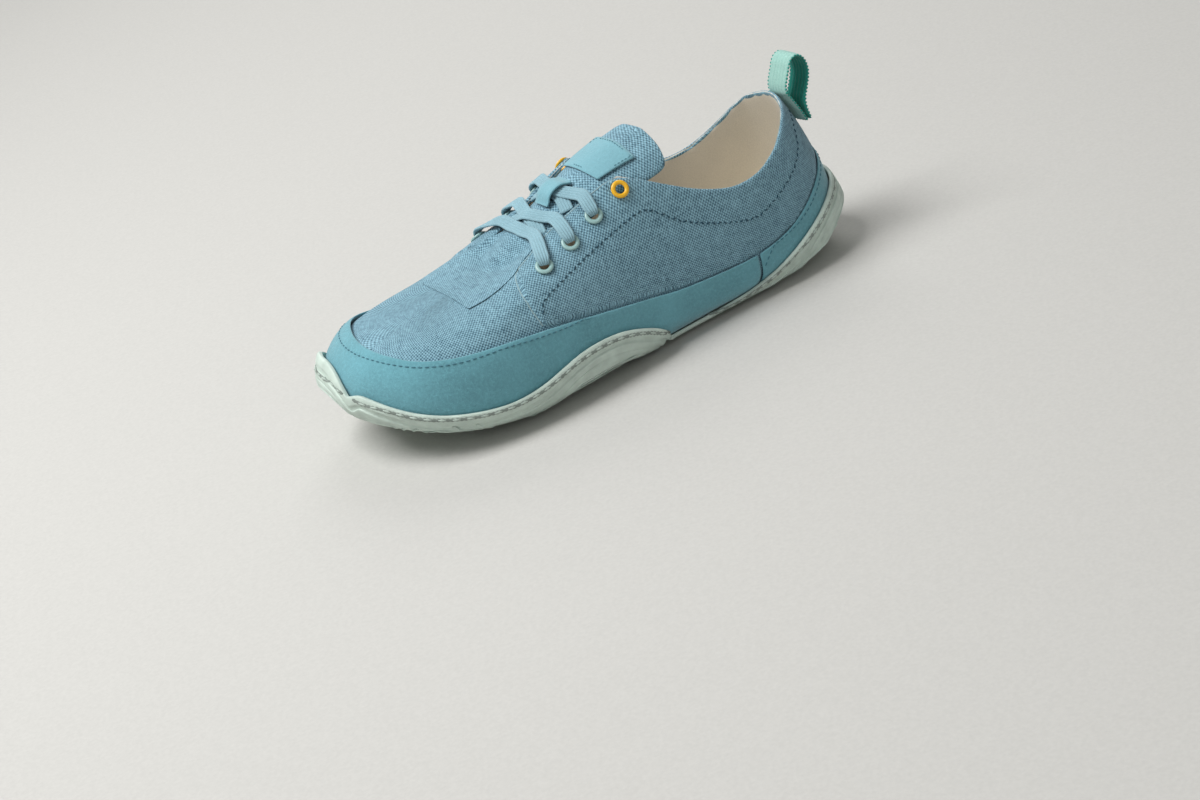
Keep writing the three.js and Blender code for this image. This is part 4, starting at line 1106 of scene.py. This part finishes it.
LOOP = [
    ((-0.1238, 0.0060, 0.0606), (-0.93, 0, 0.35)),
    ((-0.1213, 0.0054, 0.0672), (-0.92, 0, 0.38)),
    ((-0.1184, 0.0047, 0.0737), (-0.86, 0, 0.49)),
    ((-0.1166, 0.0043, 0.0767), (-0.92, 0, 0.20)),
    ((-0.1168, 0.0041, 0.0802), (-0.95, 0, -0.30)),
    ((-0.1182, 0.0041, 0.0836), (-0.88, 0, -0.47)),
    ((-0.1198, 0.0041, 0.0868), (-0.91, 0, -0.42)),
    ((-0.1213, 0.0041, 0.0899), (-0.85, 0, -0.53)),
    ((-0.1235, 0.0041, 0.0921), (-0.40, 0, -0.91)),
    ((-0.1267, 0.0041, 0.0925), (0.44, 0, -0.90)),
    ((-0.1293, 0.0041, 0.0902), (0.87, 0, -0.50)),
    ((-0.1306, 0.0041, 0.0869), (0.98, 0, -0.19)),
    ((-0.1308, 0.0041, 0.0834), (1.00, 0, 0.08)),
    ((-0.1299, 0.0041, 0.0800), (0.93, 0, 0.36)),
    ((-0.1285, 0.0041, 0.0767), (0.90, 0, 0.44)),
    ((-0.1267, 0.0045, 0.0736), (0.85, 0, 0.52)),
    ((-0.1250, 0.0051, 0.0708), (0.86, 0, 0.45)),
    ((-0.1246, 0.0057, 0.0677), (0.96, 0, 0.10)),
    ((-0.1250, 0.0061, 0.0645), (0.94, 0, -0.30)),
    ((-0.1256, 0.0063, 0.0611), (0.94, 0, -0.35)),
]


# The webbing, how far its inner face looks inwards, and the small loops along its edges
LOOP_WIDTH = 14 * MM
LOOP_THICKNESS = 1.4 * MM
LOOP_RIBS = 6
LOOP_INSIDE_FACING = 0.2
PICOT_STEP = 1.7 * MM
PICOT_RADIUS = 0.6 * MM


class SHOE_OT_pull_loop(bpy.types.Operator):
    """Two-tone webbing loop at the heel with picot edges"""

    bl_idname = "shoe.pull_loop"
    bl_label = "Pull loop"

    def execute(self, context):
        outside = cloth_finish("webbing", colours().webbing, WEBBING_GRAIN)
        inside = cloth_finish("webbing_inside", colours().webbing_inside, WEBBING_GRAIN)
        points, normals = zip(*LOOP)
        stations = stations_of(points, normals, LOOP_WIDTH, LOOP_THICKNESS)
        loop = bmesh.new()
        sweep(loop, stations, ribbed_profile(LOOP_RIBS))
        bmesh.ops.recalc_face_normals(loop, faces=loop.faces)
        centres = [s[0] for s in stations]
        facing = [s[2] for s in stations]
        for face in loop.faces:
            spot = face.calc_center_median()
            near = min(range(len(centres)), key=lambda i: (centres[i] - spot).length)
            looks_in = face.normal.dot(facing[near]) > LOOP_INSIDE_FACING
            face.material_index = 1 if looks_in else 0
        for side in (-1, 1):
            aside = side * LOOP_WIDTH / 2
            route = [p + n.cross(a).normalized() * aside for p, a, n, _, _ in stations]
            for spot, along in even_steps(route, PICOT_STEP):
                turn = along.to_track_quat("X", "Y").to_matrix().to_4x4()
                made = bmesh.ops.create_uvsphere(
                    loop,
                    u_segments=STITCH_SIDES,
                    v_segments=STITCH_RINGS,
                    radius=PICOT_RADIUS,
                    matrix=Matrix.Translation(spot) @ turn,
                )
                for face in {f for v in made["verts"] for f in v.link_faces}:
                    face.material_index = 1
        finish_piece(loop, "loop_webbing", [outside, inside], ["pull_loop"])
        return {"FINISHED"}


# Stage

TARGET = Vector((0.00012, -0.00116, 0.035))
AZIMUTH, ELEVATION, ROLL = (math.radians(a) for a in (26.4794, 22.4141, -15.1951))
DISTANCE = 1.1053
FOCAL_PIXELS = 2400
IMAGE_WIDTH, IMAGE_HEIGHT = 1200, 800
AIM_RIGHT = (IMAGE_WIDTH / 2 - 590.54) / FOCAL_PIXELS
AIM_DOWN = (IMAGE_HEIGHT / 2 - 268.08) / FOCAL_PIXELS
SENSOR = 36

# The floor lies just under the sole's ridges. Each light has its place, size and power
FLOOR_SIZE = 8
FLOOR_DROP = 0.7 * MM
WORLD_SHADE = (0.80, 0.80, 0.79, 1)
WORLD_STRENGTH = 0.35
LIGHTS = {
    "key": ((0.75, -0.2, 1.4), 0.9, 29),
    "fill": ((0.3, 1.5, 0.9), 1.2, 3),
    "rim": ((-0.6, -1.1, 0.9), 0.8, 7),
}


def area_light(name, place, size, power):
    """A square light that looks at the shoe."""
    data = bpy.data.lights.new(name, "AREA")
    data.size = size
    data.energy = power
    lamp = bpy.data.objects.new(name, data)
    bpy.context.scene.collection.objects.link(lamp)
    lamp.location = place
    lamp.rotation_euler = (TARGET - Vector(place)).to_track_quat("-Z", "Y").to_euler()


class SHOE_OT_stage(bpy.types.Operator):
    """Plain floor, soft studio lights and the camera"""

    bl_idname = "shoe.stage"
    bl_label = "Stage"

    def execute(self, context):
        scene = context.scene
        back = Vector(
            (
                math.sin(AZIMUTH) * math.cos(ELEVATION),
                math.cos(AZIMUTH) * math.cos(ELEVATION),
                math.sin(ELEVATION),
            )
        )
        right = (-back).cross(UP).normalized()
        top = right.cross(-back)
        c, s = math.cos(ROLL), math.sin(ROLL)
        right, top = c * right + s * top, c * top - s * right
        ahead = (-back + right * AIM_RIGHT - top * AIM_DOWN).normalized()
        top = (top - ahead * top.dot(ahead)).normalized()
        data = bpy.data.cameras.new("camera")
        data.sensor_width = SENSOR
        data.lens = FOCAL_PIXELS * SENSOR / IMAGE_WIDTH
        camera = bpy.data.objects.new("camera", data)
        scene.collection.objects.link(camera)
        turn = Matrix((ahead.cross(top), top, -ahead)).transposed().to_4x4()
        camera.matrix_world = Matrix.Translation(TARGET + back * DISTANCE) @ turn
        scene.camera = camera

        plane = bmesh.new()
        level = Matrix.Translation((0, 0, -FLOOR_DROP))
        bmesh.ops.create_grid(plane, x_segments=1, y_segments=1, size=FLOOR_SIZE, matrix=level)
        floor_data = bpy.data.meshes.new("floor")
        plane.to_mesh(floor_data)
        plane.free()
        floor_data.materials.append(plain_finish("floor", colours().floor, 0.95, 0.1))
        floor = bpy.data.objects.new("floor", floor_data)
        scene.collection.objects.link(floor)

        world = bpy.data.worlds.new("studio")
        world.use_nodes = True
        background = world.node_tree.nodes["Background"]
        background.inputs["Color"].default_value = WORLD_SHADE
        background.inputs["Strength"].default_value = WORLD_STRENGTH
        scene.world = world
        for name, (place, size, power) in LIGHTS.items():
            area_light(name, place, size, power)
        scene.view_settings.view_transform = "Standard"
        return {"FINISHED"}


class SHOE_PT_pieces(bpy.types.Panel):
    """Lists the shoe's pieces"""

    bl_idname = "SHOE_PT_pieces"
    bl_label = "Barefoot shoe"
    bl_space_type = "VIEW_3D"
    bl_region_type = "UI"
    bl_category = "Shoe"

    def draw(self, context):
        layout = self.layout
        for operator in OPERATORS:
            layout.operator(operator.bl_idname)
        for group in (context.scene.shoe_sizes, context.scene.shoe_colours):
            column = layout.column()
            for name in group.__annotations__:
                column.prop(group, name)


OPERATORS = [
    SHOE_OT_stage,
    SHOE_OT_sole,
    SHOE_OT_upper,
    SHOE_OT_bands,
    SHOE_OT_tongue,
    SHOE_OT_eyelets,
    SHOE_OT_laces,
    SHOE_OT_pull_loop,
]
CLASSES = [ShoeSizes, ShoeColours, *OPERATORS, SHOE_PT_pieces]


def register():
    for entry in CLASSES:
        bpy.utils.register_class(entry)
    bpy.types.Scene.shoe_sizes = PointerProperty(type=ShoeSizes)
    bpy.types.Scene.shoe_colours = PointerProperty(type=ShoeColours)


def unregister():
    del bpy.types.Scene.shoe_colours
    del bpy.types.Scene.shoe_sizes
    for entry in reversed(CLASSES):
        bpy.utils.unregister_class(entry)


def main():
    register()
    bpy.ops.shoe.stage()
    bpy.ops.shoe.sole()
    bpy.ops.shoe.upper()
    bpy.ops.shoe.bands()
    bpy.ops.shoe.tongue()
    bpy.ops.shoe.eyelets()
    bpy.ops.shoe.laces()
    bpy.ops.shoe.pull_loop()
    bpy.context.view_layer.update()


if __name__ == "__main__":
    main()
